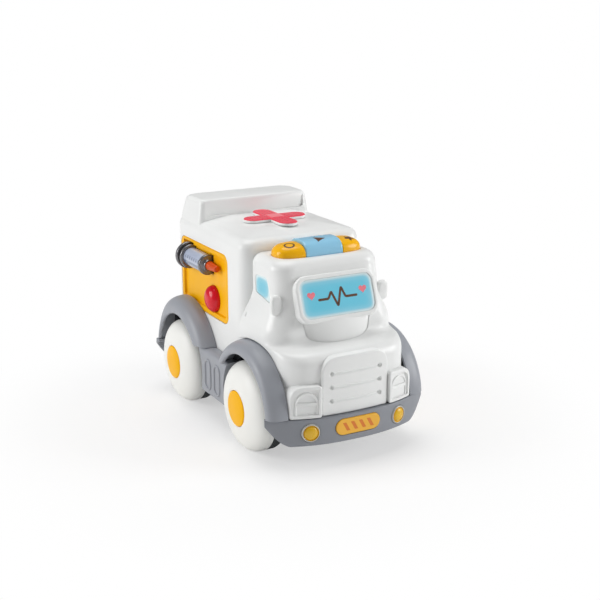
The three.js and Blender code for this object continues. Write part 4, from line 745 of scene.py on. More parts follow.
def doorLines():
    line, deep, low, high = [doorForm[key] for key in ("line", "deep", "low", "high")]
    a, b = roundedRect(doorForm["half"], (high - low) / 2, doorForm["corner"])
    return [tube(a, boxRearY, (low + high) / 2 + b, deep, (0, 1, 0), 10),
            slab(-line, line, boxRearY - deep, boxRearY + 3, low - 0.2, high + 0.2)]


wellReach, wellFromX = archRadius + 2.3, 32.7
shell = formed("boxShell", [boxSheet()])
trim(shell, [humpSheet()], "UNION")
trim(shell, [humpRecess()] + [panelPocket(side) for word, side in rightAndLeft]
     + wheelSpaces(wellReach, wellFromX))
for line in doorLines():
    trim(shell, [line])
addMesh(shell, meshFrom("handles", [pillow((side * doorForm["handleX"], boxRearY + 0.3, doorForm["handleZ"]),
                                           doorForm["handle"], 0.5) for word, side in rightAndLeft]))
finishPiece(shell, whitePlastic, "box_shell")
print("box body lofted")

# cab: plan rings climb the bonnet, its edge, the fillet, the leaning front and the roof edge;
# the half width narrows over the shoulders and the lower sides flare to the rear
cabForm = {"edge": 8.0, "fillet": 9.0, "lean": radians(12.5), "roofEdge": 6.5, "corner": 15.0,
           "topCorner": 12.0, "bow": 5.0, "flare": 4.1, "shoulder": axleZ + 45.4, "shoulderHeight": 26.0,
           "shelf": 0.8}


def cabSheet():
    form = cabForm
    edge, fillet, lean, roofEdge = [form[key] for key in ("edge", "fillet", "lean", "roofEdge")]
    arc = quarter(14)
    fill = np.linspace(0, pi / 2 - lean, 16)
    wallZ = np.linspace(shellBottomZ, hoodTopZ - edge, 14)[:-1]
    filletY = cabFootY - fillet * np.cos(lean) - 5 + fillet * np.sin(fill)
    filletZ = hoodTopZ + form["shelf"] + fillet * (1 - np.cos(fill))
    archZ = cabRoofZ - roofEdge
    leanZ = np.linspace(filletZ[-1], archZ, 22)[1:]
    leanY = filletY[-1] + np.tan(lean) * (leanZ - filletZ[-1])
    roofInset = roofEdge * (1 - np.cos(arc[1:]))
    front, z = profile((0 * wallZ + hoodFrontY, wallZ),
                       (hoodFrontY + edge * (1 - np.cos(arc)), hoodTopZ - edge * (1 - np.sin(arc))),
                       (filletY, filletZ), (leanY, leanZ),
                       (leanY[-1] + roofInset, archZ + roofEdge * np.sin(arc[1:])))
    inset = np.concatenate([np.zeros(len(z) - len(roofInset)), roofInset])
    high = ease((z - form["shoulder"]) / form["shoulderHeight"])
    up = ease((z - hoodTopZ + 1) / (fillet + 3))
    halfWidth = blend(bodyHalfWidth, cabHalfWidth, high) - inset
    corner = np.maximum(blend(form["corner"], form["topCorner"], up) - inset * 0.4, 2)
    x, y = planRings(halfWidth, front, cabRearY, corner, 1.0, blend(form["bow"], 0, up), arc=12, run=24)
    spread = ease((y - hoodFrontY - form["corner"]) / (cabRearY - hoodFrontY - form["corner"] - 2))
    x = x + form["flare"] * (1 - high)[:, None] * spread * power(x / halfWidth[:, None], 2)
    return sheet(x, y, z[:, None])


# room for the front arches: a wheel space with a shallow step for the arch's root
def archNotches():
    radius, station = profile((core, wellFromX), (wellReach, wellFromX), (wellReach, bodyHalfWidth),
                              (archRadius + 9.4, bodyHalfWidth), (archRadius + 9.4, wheelFaceX + 12),
                              (core, wheelFaceX + 12))
    return [turned(alongX, radius, side * station, (frontAxleY, axleZ), 128) for word, side in rightAndLeft]


# window outline: four corners rounded by quadratic curves
windowForm = {"rear": cabRearY - 4.7, "top": cabRoofZ - 11.6, "height": 14.6, "topLength": 14.4,
              "footLength": 20.6, "corner": 2.6, "spread": (9.6, 7.0)}


def windowOutline(grow):
    form, rear, top = windowForm, windowForm["rear"], windowForm["top"]
    foot = top - form["height"]
    corners = ((rear, top - 1), (rear - form["topLength"], top),
               (rear - form["footLength"], foot), (rear, foot + 3))
    y, z = roundedProfile(corners, form["corner"], 10)
    middle = rear - form["topLength"] * 0.6, (top + foot) / 2
    reach = np.hypot(y - middle[0], z - middle[1])
    return y + grow * (y - middle[0]) / reach, z + grow * (z - middle[1]) / reach, middle


def windowPocket(side):
    y, z, middle = windowOutline(gap)
    return sheet(side * (cabHalfWidth + np.array([-1.6, 8])[:, None]), y[None], z[None])


# roof keys: one low bar across the cab roof, split in three
keyForm = {"y": cabRearY - 15.1, "depth": 11.0, "height": 9.0, "endHeight": 7.4, "split": 13.0,
           "end": cabHalfWidth - 7.2, "base": cabRoofZ - 3.9, "foot": 0.4, "side": 0.72, "top": 0.8,
           "edge": 0.9, "room": 0.4}


# half depth of the roof keys at x: full in the middle, rounding in as 1 - share to the fifth
def keyDepth(x, grow=0.0):
    share = np.clip(np.abs(x) / (keyForm["end"] + grow), 0, 1)
    return (keyForm["depth"] + grow) * (1 - share ** 5) ** (1 / 2.6)


def keyHole():
    room = keyForm["room"]
    x = (keyForm["end"] + room) * np.sin(np.linspace(-pi / 2, pi / 2, 61))
    back = x[-2:0:-1]
    outX, outY = profile((x, -keyDepth(x, room)), (back, keyDepth(back, room)))
    return sheet(outX[None], keyForm["y"] + outY[None], cabRoofZ + np.array([-8, 8])[:, None])


# the windscreen leans back about its middle, in a rounded rim
screenForm = {"tilt": radians(19.8), "y": cabFootY - 5.4, "z": cabRoofZ - 21.9, "half": cabHalfWidth - 11.8,
              "high": 11.5, "corner": 5.0, "rim": 3.0, "inset": 0.6, "thickness": 1.6, "deep": 16.0,
              "rimSoft": 1.1, "lipSoft": 0.5}
# cowl under the windscreen: an upright half ellipse, its upper edge drawn in a little
cowlForm = {"wider": 1.6, "reach": 12.8, "back": 8.0, "soft": 1.2, "seam": 0.4}


def cowlSheet(grow=0.0):
    soft = cowlForm["soft"]
    turn = circle(96)[None]
    bend = np.linspace(0.2, pi / 2, 6)
    top = screenForm["z"] - screenForm["high"] - 1 - soft
    walls = np.linspace(hoodTopZ - 6, top, 8)
    inset, z = profile((0 * walls, walls), (soft * (1 - np.cos(bend)), top + soft * np.sin(bend)))
    half = screenForm["half"] + cowlForm["wider"] + grow - inset[:, None]
    reach = cowlForm["reach"] + grow - inset[:, None]
    return sheet(half * np.cos(turn), screenForm["y"] + cowlForm["back"] + reach * np.sin(turn), z[:, None])


# grille: a bowed plate with rounded upper corners and three soft grooves,
# each a squared cosine dip with a hole at either end
grilleForm = {"half": 23.0, "top": axleZ + 40.4, "corner": 11.25, "foot": 1.6, "proud": 2.2, "thick": 8.0,
              "edge": 0.9, "groove": 1.4, "dip": 0.8, "holeX": 16.8, "holeR": 1.6, "holeDeep": 1.6}


def grilleSheet():
    form, half, low, top = grilleForm, grilleForm["half"], shellBottomZ, grilleForm["top"]
    outline = roundedProfile(((half, low), (half, top), (-half, top), (-half, low)),
                             (form["foot"], form["corner"], form["corner"], form["foot"]), 14)
    pitch = (top - low) / 4.2

    def grooves(x, z, share):
        away = np.min(np.abs(z[..., None] - low - pitch * np.arange(1, 4)), -1)
        dip = np.where(away < form["groove"], np.cos(away / form["groove"] * pi / 2) ** 2, 0)
        hole = np.clip(1 - np.hypot(away, np.abs(x) - form["holeX"]) / form["holeR"], 0, 1)
        within = ease((form["holeX"] - np.abs(x)) / 0.8 + 0.5)
        return form["dip"] * dip * within + form["holeDeep"] * ease(2 * hole)

    faceA, faceB, faceD = plateRings(*outline, form["edge"], form["thick"], 120, grooves,
                                     (0.0, (low + top) / 2), 360)
    bow = cabForm["bow"] * (faceA / bodyHalfWidth) ** 2
    return sheet(faceA, hoodFrontY - form["proud"] + bow + faceD, faceB)


# headlamp: an arched housing over the bumper, its face sunk inside a rim,
# with a raised half-round and a frame under it
headlampForm = {"inner": 23.6, "outer": bodyHalfWidth - 0.4, "top": axleZ + 24.2,
                "corners": (1.6, 1.6, 14.0, 2.4), "edge": 0.9, "thick": 24.0, "sunk": 1.5, "rim": 0.88,
                "rimSoft": 0.07, "archHalf": 6.3, "archZ": shellBottomZ + 9.4, "ridge": 0.85}


def headlampSheets(side):
    form, low = headlampForm, shellBottomZ
    inner, outer, top, half, archZ = [form[key] for key in ("inner", "outer", "top", "archHalf", "archZ")]
    outline = roundedProfile(((inner, low), (outer, low), (outer, top), (inner, top)), form["corners"], 16)
    middle = ((inner + outer) / 2 - 0.6, (low + top) / 2 - 1)

    def sunk(x, z, share):
        return form["sunk"] * ease((form["rim"] - share) / form["rimSoft"])

    def faceY(x):
        return bumperFrontY + bumperBow(x) + 2 * gap

    faceA, faceB, faceD = plateRings(*outline, form["edge"], form["thick"], 40, sunk, middle)
    made = [sheet(side * faceA, faceY(faceA) + faceD, faceB)]
    bend = np.linspace(0, pi, 40)
    foot = roundedProfile(((half, low + 1), (half, archZ - 0.9), (-half, archZ - 0.9), (-half, low + 1)), 0.8)
    for ridge in ((half * np.cos(bend), archZ + half * np.sin(bend)), foot):
        along, upward = evenly(*ridge, 90)
        x = middle[0] + along
        made.append(tube(side * x, faceY(x) + form["sunk"], upward, form["ridge"], (0, 1, 0)))
    return made


# door catches are small upright slits, mirrors are pillows on the cab's sides
catchForm = {"x": bodyHalfWidth + 0.7, "y": cabRearY - 4.7, "z": axleZ + 55.4, "half": (0.9, 0.45, 2.0)}
mirrorForm = {"x": cabHalfWidth + 0.8, "y": cabFootY + 4.2, "z": cabRoofZ - 25.4, "half": (3.6, 2.3, 6.2)}


def sidePillow(form, side, square):
    return pillow((side * form["x"], form["y"], form["z"]), form["half"], square)


cab = formed("cabShell", [cabSheet()])
trim(cab, archNotches() + [windowPocket(side) for word, side in rightAndLeft] + [keyHole()]
     + [sidePillow(catchForm, side, 0.5) for word, side in rightAndLeft])
trim(cab, [cowlSheet(cowlForm["seam"])])  # a seam round the cowl's foot
extras = [cowlSheet(), grilleSheet()]
for word, side in rightAndLeft:
    extras += headlampSheets(side) + [sidePillow(mirrorForm, side, 0.6)]
addMesh(cab, meshFrom("extras", extras))
finishPiece(cab, whitePlastic, "cab_shell", angle=38)
print("cab lofted")

tiltC, tiltS = np.cos(screenForm["tilt"]), np.sin(screenForm["tilt"])


# windscreen pieces are drawn upright about their middle and leaned back
def leaned(a, depth, b, wrapRows=False):
    y = screenForm["y"] + depth * tiltC + b * tiltS
    return sheet(a, y, screenForm["z"] - depth * tiltS + b * tiltC, wrapRows)


def screenRect(grow):
    return roundedRect(*[screenForm[key] + grow for key in ("half", "high", "corner")], 14, 10)


def screenFrameSheet():
    deep, rim, rimSoft, lipSoft = [screenForm[key] for key in ("deep", "rim", "rimSoft", "lipSoft")]
    bend = quarter(7)
    grow, depth = profile((gap, deep), (gap, 2.4),
                          (gap + lipSoft * (1 - np.cos(bend)), lipSoft * (1 - np.sin(bend))),
                          (rim - rimSoft * (1 - np.sin(bend)), rimSoft * (1 - np.cos(bend))), (rim, deep))
    a, b = screenRect(grow)
    return leaned(a, depth[:, None], b, True)


piece("screenFrame", [screenFrameSheet()], whitePlastic, "screen_frame", angle=40)
faceA, faceB, faceD = plateRings(*screenRect(0.25), 0.15, screenForm["thickness"])
screen = piece("faceScreen", [leaned(faceA, screenForm["inset"] + faceD, faceB)], screenBlue,
               "face_screen")
spreadUv(screen, (0, screenForm["y"], screenForm["z"]), (1, 0, 0), (0, tiltS, tiltC),
         screenForm["half"], screenForm["high"])
for word, side in rightAndLeft:
    y, z, middle = windowOutline(0.2)
    faceA, faceB, faceD = plateRings(y, z, 0.15, 1.1, middle=middle)
    window = piece(f"sideWindow{word.title()}", [sheet(side * (cabHalfWidth - 0.2 - faceD), faceA, faceB)],
                   windowBlue, f"side_window_{word}")
    spreadUv(window, (0, *middle), (0, 1, 0), (0, 0, 1), *windowForm["spread"])
print("windscreen and windows set")

printForm = {"lift": 0.05, "sink": 0.1, "line": 0.75, "heart": 0.17, "heartA": 18.0, "heartB": 2.2}


# printed line on the screen: a ribbon with round ends along points (a, b), raised by its ink
def ribbon(points, width):
    along = np.gradient(points, axis=0)
    along /= np.linalg.norm(along, axis=1, keepdims=True)
    end = quarter(7)[:-1]
    reach = (width * np.cos(end))[:, None]
    lead = np.concatenate([points[0] - along[0] * reach, points, points[-1] + along[-1] * reach[::-1]])
    half = np.concatenate([width * np.sin(end), np.full(len(points), width), width * np.sin(end[::-1])])
    ahead = np.concatenate([np.repeat(along[:1], 6, 0), along, np.repeat(along[-1:], 6, 0)])
    across = half[:, None] * np.stack([-ahead[:, 1], ahead[:, 0]], -1)
    rim = np.stack([lead + across, lead - across, lead - across, lead + across], 1)
    lift, sink = printForm["lift"], printForm["sink"]
    return leaned(rim[..., 0], screenForm["inset"] + np.array([-lift, -lift, sink, sink])[None], rim[..., 1])


# heart: a = sine cubed, b = a sum of four cosines
def heart(side):
    turn, scale = circle(80), printForm["heart"]
    a = scale * 16 * np.sin(turn) ** 3
    b = scale * (13 * np.cos(turn) - 5 * np.cos(2 * turn) - 2 * np.cos(3 * turn) - np.cos(4 * turn))
    share, depth = profile((0.02, -printForm["lift"]), (1, -printForm["lift"]), (1, printForm["sink"]),
                           (0.02, printForm["sink"]))
    return leaned(side * printForm["heartA"] + share[:, None] * a, screenForm["inset"] + depth[:, None],
                  share[:, None] * b + printForm["heartB"])


# heartbeat line: flat, two peaks and flat again, with a heart on either side
beat = ((-13, -1), (-6.6, -1), (-4.2, 3.2), (-0.6, -6), (3.0, 5.2), (5.4, -1), (13, -1))
pulse = roundedProfile(beat, 1.0, 6, False)
piece("screenPulse", [ribbon(pulse.T, printForm["line"])], inkBrown)
piece("screenHearts", [heart(side) for word, side in rightAndLeft], pinkInk)
print("screen printed")


# roof keys: sections y = depth |cos| and z = height sin, each to a power, along x, their inner edges rounded
def keyHeight(x):
    split, low = keyForm["split"], keyForm["top"]
    share = np.clip((np.abs(x) - split) / (keyForm["end"] - split), 0, 1)
    ends = low + (keyForm["endHeight"] - low) * (1 - share ** 4) ** 0.5
    return np.where(np.abs(x) < split, keyForm["height"], ends)


def keySheet(x, ease0, ease1):
    form, edge = keyForm, keyForm["edge"]
    arc = np.linspace(0, pi, 41)
    trimBy = 0
    for rounded, away in ((ease0, x - x[0]), (ease1, x[-1] - x)):
        share = np.clip(away / edge, 0, 1) if rounded else np.ones_like(x)
        trimBy = trimBy + edge * (1 - np.sqrt(1 - (1 - share) ** 2))
    depth = np.maximum(keyDepth(x) - 0.35 * trimBy, 0.02)[:, None]
    height = np.maximum(keyHeight(x) - trimBy, 0.5)[:, None]
    y = form["y"] + np.concatenate([-depth, depth, depth * power(np.cos(arc), form["side"])], 1)
    base = form["base"] + 0 * depth
    top = cabRoofZ + form["foot"] + (height - form["foot"]) * np.abs(np.sin(arc)) ** form["top"]
    return sheet(x[:, None], y, np.concatenate([base, base, top], 1))


fineEdge = keyForm["edge"] * (1 - np.cos(quarter(8)))
half, inner, past = keyForm["split"] - gap / 2, keyForm["split"] + gap / 2, 1.2
middleX = np.concatenate([-half + fineEdge, np.linspace(past - half, half - past, 16), half - fineEdge[::-1]])
outward = inner + past + (keyForm["end"] - inner - past) * np.sin(quarter(34))
endX = np.concatenate([inner + fineEdge, outward])
for word, stations, material, slotName in (
        ("middle", (middleX, True, True), keyBluePlastic, "blue_key"),
        ("left", (endX, True, False), keyAmberPlastic, "amber_plastic"),
        ("right", (-endX[::-1], False, True), keyAmberPlastic, "amber_plastic")):
    piece(f"roofKey{word.title()}", [keySheet(*stations)], material, f"roof_key_{word}",
          f"{word}_key", 40)


# printed marks lie on the keys' tops: z from the same section formula
def keyMark(name, x, y, body, wrapRows=False):
    form = keyForm
    c = np.clip(np.abs(y - form["y"]) / np.maximum(keyDepth(x), 0.1), 0, 1) ** (1 / form["side"])
    top = cabRoofZ + form["foot"] + (keyHeight(x) - form["foot"]) * (1 - c ** 2) ** (form["top"] / 2)
    x, y = [np.concatenate([v, v[:, ::-1]], 1) for v in (x, y)]
    z = np.concatenate([top + 0.1, top[:, ::-1] - 0.2], 1)
    piece(name, [sheet(x, y, z, wrapRows)], inkBrown, None, body)


# ring, arrow and star: circle, triangle and a five-lobed cosine outline
markForm = {"y": keyForm["y"] - 3.9, "x": 21.0, "size": 3.4, "stroke": 0.72}
markX, markY, markSize = markForm["x"], markForm["y"], markForm["size"]
turn = circle(90)[:, None]
ringR = markSize * np.linspace(1, markForm["stroke"], 4)[None]
keyMark("keyRing", -markX + ringR * np.cos(turn), markY + ringR * np.sin(turn),
        "right_key", True)
run = np.linspace(0, 1, 24)[:, None]
wide = np.linspace(1, -1, 13)[None]
keyMark("keyArrow", markSize * (1.9 * run - 0.8) + 0 * wide, markY + markSize * wide * (1 - 0.98 * run),
        "middle_key")
starR = markSize * (0.76 + 0.24 * np.cos(5 * turn)) * np.linspace(1, 0.02, 8)[None]
keyMark("keyStar", markX + starR * np.sin(turn), markY - starR * np.cos(turn),
        "left_key", True)
print("roof keys set")


# play panel: rings from the back, round the rim's edge, down the recess and over its floor
def panelSheet(side):
    form, soft, rim = panelForm, panelForm["soft"], panelForm["rim"]
    bend = quarter(6)
    rise, fall = soft * (1 - np.sin(bend)), soft * (1 - np.cos(bend))
    grow, depth = profile((0, form["thick"]), (-fall, rise), (rise - rim, fall),
                          (-rim - 0.15 - fall, form["recess"] - rise))
    a, b = roundedRect(panelHalfY + grow, panelHalfZ + grow, np.maximum(form["corner"] + grow, 1.6), 10, 12)
    return sheet(side * (bodyHalfWidth - depth[:, None]), panelMidY + a, panelMidZ + b)


syringeForm = {"x": -bodyHalfWidth - 1.2, "z": panelForm["high"] - 11.3, "tip": panelForm["front"] + 12.9,
               "nozzle": 12.0, "nozzleR": 2.9, "collar": 4.2, "collarR": 6.9, "barrelR": 6.4,
               "rear": panelForm["rear"] - 21.3, "flange": 2.4, "flangeR": 8.4, "thumbGap": 2.6, "thumb": 3.0,
               "thumbR": 9.2, "rodR": 2.4, "pull": 8.0, "bore": 5.1, "piston": 3.4, "fill": -0.6, "tick": 3.4,
               "tickZ": 2.6, "tickHalf": 1.1}
collarY = syringeForm["tip"] + syringeForm["nozzle"] + gap
barrelY = collarY + syringeForm["collar"] + gap
flangeY = syringeForm["rear"] + gap
thumbY = flangeY + syringeForm["flange"] + syringeForm["thumbGap"]
syringeMiddle = (syringeForm["x"], syringeForm["z"])
buttonForm = {"y": panelForm["front"] + 24.9, "z": panelForm["low"] + 12.0, "radius": 8.9, "dome": 6.0,
              "skirt": 0.6, "square": 0.86, "floor": bodyHalfWidth - panelForm["recess"],
              "back": bodyHalfWidth - 5.4}
buttonMiddle = (buttonForm["y"], buttonForm["z"])
form = syringeForm
playPanel = formed("playPanel", [panelSheet(-1)])
trim(playPanel, [rod(alongY, form[key] + gap, start, end, syringeMiddle, 72) for key, start, end in (
    ("nozzleR", form["tip"] - gap, collarY + 1), ("collarR", collarY - gap, barrelY + 1),
    ("barrelR", barrelY - gap, form["rear"] + 1),
    ("thumbR", form["rear"], thumbY + form["thumb"] + form["pull"] + gap))], overlapping=True)
trim(playPanel, [rod(alongX, buttonForm["radius"] + gap, -60, -20, buttonMiddle, 96)])
finishPiece(playPanel, amberPlastic, "side_panel_right")
piece("plainPanel", [panelSheet(1)], amberPlastic, "side_panel_left")

# red button: a half-ellipse dome on a straight skirt
bend, skirt = quarter(28), buttonForm["skirt"]
domeR = np.maximum(buttonForm["radius"] * np.cos(bend) ** buttonForm["square"], core)
domeX = buttonForm["floor"] + skirt + (buttonForm["dome"] - skirt) * np.sin(bend)
radius, station = profile((core, buttonForm["back"]), (buttonForm["radius"], buttonForm["back"]),
                          (domeR, domeX))
piece("redButton", [turned(alongX, radius, -station, buttonMiddle, 96)], redPlastic,
      "side_button", "red_button")


# clear barrel: pale above and darker below its filling line, with short marks along it
def barrelFinish(name):
    finish = Finish(name)
    form = syringeForm
    x, y, z = finish.axes()
    level = finish.minus(z, (form["z"] + form["fill"]) * metre)
    filling = finish.span(level, 1.0, 0.0, -0.0003, 0.0003)
    step = finish.math("FRACT", finish.times(finish.minus(y, barrelY * metre), 1 / (form["tick"] * metre)))
    high = finish.below(finish.size(finish.minus(level, form["tickZ"] * metre)), form["tickHalf"] * metre)
    pale = finish.cloudy(colour(172, 181, 203), colour(184, 193, 212), 50.0)
    filled = finish.mix(filling, pale, colour(104, 118, 146))
    shade = finish.mix(finish.times(finish.below(step, 0.16), high), filled, colour(78, 84, 104))
    return finish.done(shade, 0.12, 0.2, 140.0, Coat_Weight=0.6, Coat_Roughness=0.05)


# the rounded front and rear edges of a turned piece, as quarter circles
def frontEdge(radius, y, soft=0.9):
    return radius - soft * (1 - np.sin(quarter(6))), y + soft * (1 - np.cos(quarter(6)))


def rearEdge(radius, y, soft=0.9):
    return radius - soft * (1 - np.cos(quarter(6))), y - soft * (1 - np.sin(quarter(6)))


def syringePart(part, outline, material, body="vehicle", angle=40, wrapRows=False):
    piece(f"syringe{part}", [turned(alongY, *outline, syringeMiddle, 64, wrapRows)], material,
          f"syringe_{part.lower()}", body, angle)


bore = form["bore"]
syringePart("Barrel", profile((np.full(24, form["barrelR"]), np.linspace(barrelY, form["rear"], 24)),
                              (bore, form["rear"]), (bore, barrelY)),
            barrelFinish("barrelClear"), angle=32, wrapRows=True)
ring, flangeEnd = form["rodR"] + 0.6, flangeY + form["flange"]
syringePart("Flange", profile((ring, flangeY), frontEdge(form["flangeR"], flangeY),
                              rearEdge(form["flangeR"], flangeEnd), (ring, flangeEnd)),
            darkGloss, wrapRows=True)
r, end = form["collarR"], collarY + form["collar"]
syringePart("Collar", profile((core, collarY), (r * 0.5, collarY), (r * 0.54, collarY + 0.8),
                              (r * 0.6, collarY + 1.1), (r * 0.9, collarY + 1.3),
                              frontEdge(r, collarY + 1.4, 0.8), rearEdge(r, end, 0.8), (core, end)),
            darkGloss)
r, tip, end = form["nozzleR"], form["tip"], form["tip"] + form["nozzle"]
syringePart("Nozzle", profile((core, tip), frontEdge(0.74 * r, tip), (0.9 * r, end - 4),
                              (0.92 * r, end - 3.6), (r, end - 3), (r, end), (core, end)),
            orangePlastic)
piston, pistonY, end = bore - gap, barrelY + form["thumbGap"], thumbY + form["thumb"]
pistonEnd = pistonY + form["piston"]
syringePart("Plunger", profile((core, pistonY), (piston * 0.8, pistonY), (piston, pistonY + 0.6),
                               (piston, pistonEnd), (form["rodR"], pistonEnd), (form["rodR"], thumbY),
                               frontEdge(form["thumbR"], thumbY), rearEdge(form["thumbR"], end),
                               (core, end - 0.5)), darkGloss, "plunger")
print("play panel and syringe set")

# roof emblem: two crossed plaster strips with round ends and a raised pad
emblemForm = {"z": boxRoofZ + boxForm["crown"] + gap, "front": boxFrontY + 15.5, "rear": humpFrontY - 2.5,
              "half": 22.0, "band": 6.4, "pad": 5.0, "padCorner": 1.6, "high": 2.2, "padHigh": 2.7,
              "edge": 0.7, "pitch": 3.6, "dot": 0.62, "inlay": 1.5}
emblemMidY = (emblemForm["front"] + emblemForm["rear"]) / 2


def emblemSheet(halfA, halfB, high, corner):
    faceA, faceB, faceD = plateRings(*roundedRect(halfA, halfB, corner - 0.01), emblemForm["edge"], high)
    return sheet(faceA, emblemMidY + faceB, emblemForm["z"] + high - faceD)


# plaster colour: paler on the pad, rows of small darker dots on the strips where the nearest point
# of a square lattice is closer than a dot's radius, and white sides below the inlay's level
def plasterFinish(name, strip, pad, dot, sides):
    finish = Finish(name)
    form = emblemForm
    x, y, z = finish.axes()
    places = finish.times(x, 1 / metre), finish.minus(finish.times(y, 1 / metre), float(emblemMidY))
    near = []
    for value in places:
        cell = finish.math("FRACT", finish.plus(finish.times(value, 1 / form["pitch"]), 0.5))
        away = finish.minus(cell, 0.5)
        near.append(finish.times(away, away))
    spot = finish.below(finish.plus(*near), (form["dot"] / form["pitch"]) ** 2)
    reach = finish.math("MAXIMUM", *[finish.size(value) for value in places])
    outer = finish.times(finish.above(reach, form["band"] + 0.5), finish.below(reach, form["half"] - 3))
    dotted = finish.mix(finish.times(spot, outer), finish.cloudy(tint(strip, 0.98), tint(strip, 1.02)), dot)
    padded = finish.mix(finish.span(reach, 1.0, 0.0, form["pad"] - 0.2, form["pad"]), dotted, pad)
    low = finish.below(z, float(form["z"] + form["inlay"]) * metre)
    return finish.done(finish.mix(low, padded, sides), 0.36, 0.46, grain=0.03)


form, band, pad = emblemForm, emblemForm["band"], emblemForm["pad"]
cross = formed("roofEmblem", [emblemSheet(form["half"], band, form["high"], band)])
trim(cross, [emblemSheet(band, (form["rear"] - form["front"]) / 2, form["high"], band)], "UNION")
trim(cross, [emblemSheet(pad, pad, form["padHigh"], form["padCorner"])], "UNION")
plaster = plasterFinish("coralPlaster", colour(238, 66, 88), colour(246, 128, 138), colour(190, 40, 62),
                        colour(*whiteShade))
finishPiece(cross, plaster, "roof_emblem")
print("emblem set")

# chassis: a tray, four lined wheel wells and two side steps with raised loops
chassisForm = {"floor": axleZ - 14, "top": axleZ + 10, "inset": 2.7, "soft": 1.6, "well": bodyHalfWidth - 8,
               "step": bodyHalfWidth + 8, "stepTop": axleZ + archForm["stepTop"], "stepLow": axleZ - 12,
               "bayHalf": 27.0, "bayFront": frontAxleY + 6, "bayLength": 37.0, "bayTop": 18.5,
               "screwR": 3.7, "screwDeep": 5.7, "soundR": 1.7, "soundRing": 8.0, "soundDeep": 2.4,
               "switchHalf": (7.2, 3.4), "switchDeep": 5.0, "switchPast": 26.0}
loopForm = {"shift": 7.0, "half": 4.1, "high": 10.1, "corner": 4.05, "radius": 0.95}


def traySheet():
    form = chassisForm
    bend = quarter(7)[::-1]
    inset, z = profile((form["soft"] * (1 - np.cos(bend)), form["floor"] + form["soft"] * (1 - np.sin(bend))),
                       (0, form["top"]))
    inset = inset + form["inset"]
    x, y = planRings(bodyHalfWidth - inset, hoodFrontY + inset, boxRearY - inset, cabForm["corner"] - inset,
                     boxForm["corner"] - form["inset"], cabForm["bow"], run=14)
    return sheet(x, y, z[:, None])


def stepSheet(side):
    innerX, outerX = bodyHalfWidth - chassisForm["inset"] - 2, bodyHalfWidth + gap
    step, low, top, shelf = *[chassisForm[key] for key in ("step", "stepLow", "stepTop")], shellBottomZ - gap
    corners = ((innerX, low), (step, low), (step, top), (outerX, top), (outerX, shelf), (innerX, shelf))
    x, z = roundedProfile(corners, (0.3, 3.6, 4.2, 0.3, 0.3, 0.3), 10)
    return sheet(side * x[None], np.linspace(frontAxleY + 12, rearAxleY - 12, 30)[:, None], z[None])


def stepLoop(side, shift):
    a, b = roundedRect(loopForm["half"], loopForm["high"], loopForm["corner"], 14, 10)
    midZ = (chassisForm["stepLow"] + chassisForm["stepTop"]) / 2 - 1
    return tube(side * (chassisForm["step"] - 0.1), sum(bothAxles) / 2 + shift + a, midZ + b,
                loopForm["radius"], (1, 0, 0))


# well lining: an L section carried round the axle from behind the bumper to the chassis floor
def wellSheet(side, axleY, toBumper):
    near, far, r = chassisForm["well"], bodyHalfWidth, archRadius
    x, r = profile((far, r), (near, r), (near, 4), (near - 2, 4), (near - 2, r + 2), (far, r + 2))
    angle = np.linspace(radians(5), radians(204), 60)[:, None]
    return roundAxle(side, x[None], r[None], angle, axleY, toBumper)


# flange behind each arch: a thin ring sector against the body's side, as deep as the arch's hollow, put there
# to carry painted shade where the hollow lies in shadow
def shadeFlangeSheet(side, axleY, toBumper, depth, footDepth):
    angle = np.linspace(radians(26), radians(150), 60)[:, None]
    reach = archRadius + archSwell(footDepth, depth, angle) - 2
    foot = archRadius + 0 * angle
    x = bodyHalfWidth + np.array([0.06, 0.06, 0.24, 0.24])[None]
    return roundAxle(side, x, np.concatenate([foot, reach, reach, foot], 1), angle, axleY, toBumper)


# battery bay, screw holes, sound holes in a ring and the switch's slot
def floorCuts():
    form, floor = chassisForm, chassisForm["floor"]
    cuts = [slab(-form["bayHalf"], form["bayHalf"], form["bayFront"], form["bayFront"] + form["bayLength"],
                 0, floor + form["bayTop"])]
    speakerY = sum(nodeBox("speaker"))[1] / 2
    switchX, switchY = form["switchHalf"]
    slotY = speakerY + form["switchPast"]
    cuts.append(slab(-switchX, switchX, slotY - switchY, slotY + switchY, 0, floor + form["switchDeep"]))
    for k in range(1, 5):
        middle = sum(nodeBox(f"body_screw_{k}"))[:2] / 2
        cuts.append(rod(alongZ, form["screwR"], 0, floor + form["screwDeep"], middle, 48))
    for ring, angle in [(0, 0)] + [(form["soundRing"], k * pi / 3) for k in range(6)]:
        middle = (ring * np.cos(angle), speakerY + ring * np.sin(angle))
        cuts.append(rod(alongZ, form["soundR"], 0, floor + form["soundDeep"], middle, 24))
    return cuts


wells = wheelSpaces(archRadius, chassisForm["well"])
chassis = formed("chassis", [traySheet()])
trim(chassis, wells + floorCuts())
for word, side in rightAndLeft:
    step = formed("step", [stepSheet(side)])
    trim(step, wells)
    stepMesh = step.data
    bpy.data.objects.remove(step)
    addMesh(chassis, stepMesh)
    linings = [stepLoop(side, shift) for shift in (-loopForm["shift"], loopForm["shift"])]
    linings += [wellSheet(side, axleY, toBumper) for end, axleY, toBumper, *depths in archEnds]
    linings += [shadeFlangeSheet(side, *place[:4]) for end, *place in archEnds]
    addMesh(chassis, meshFrom("linings", linings))
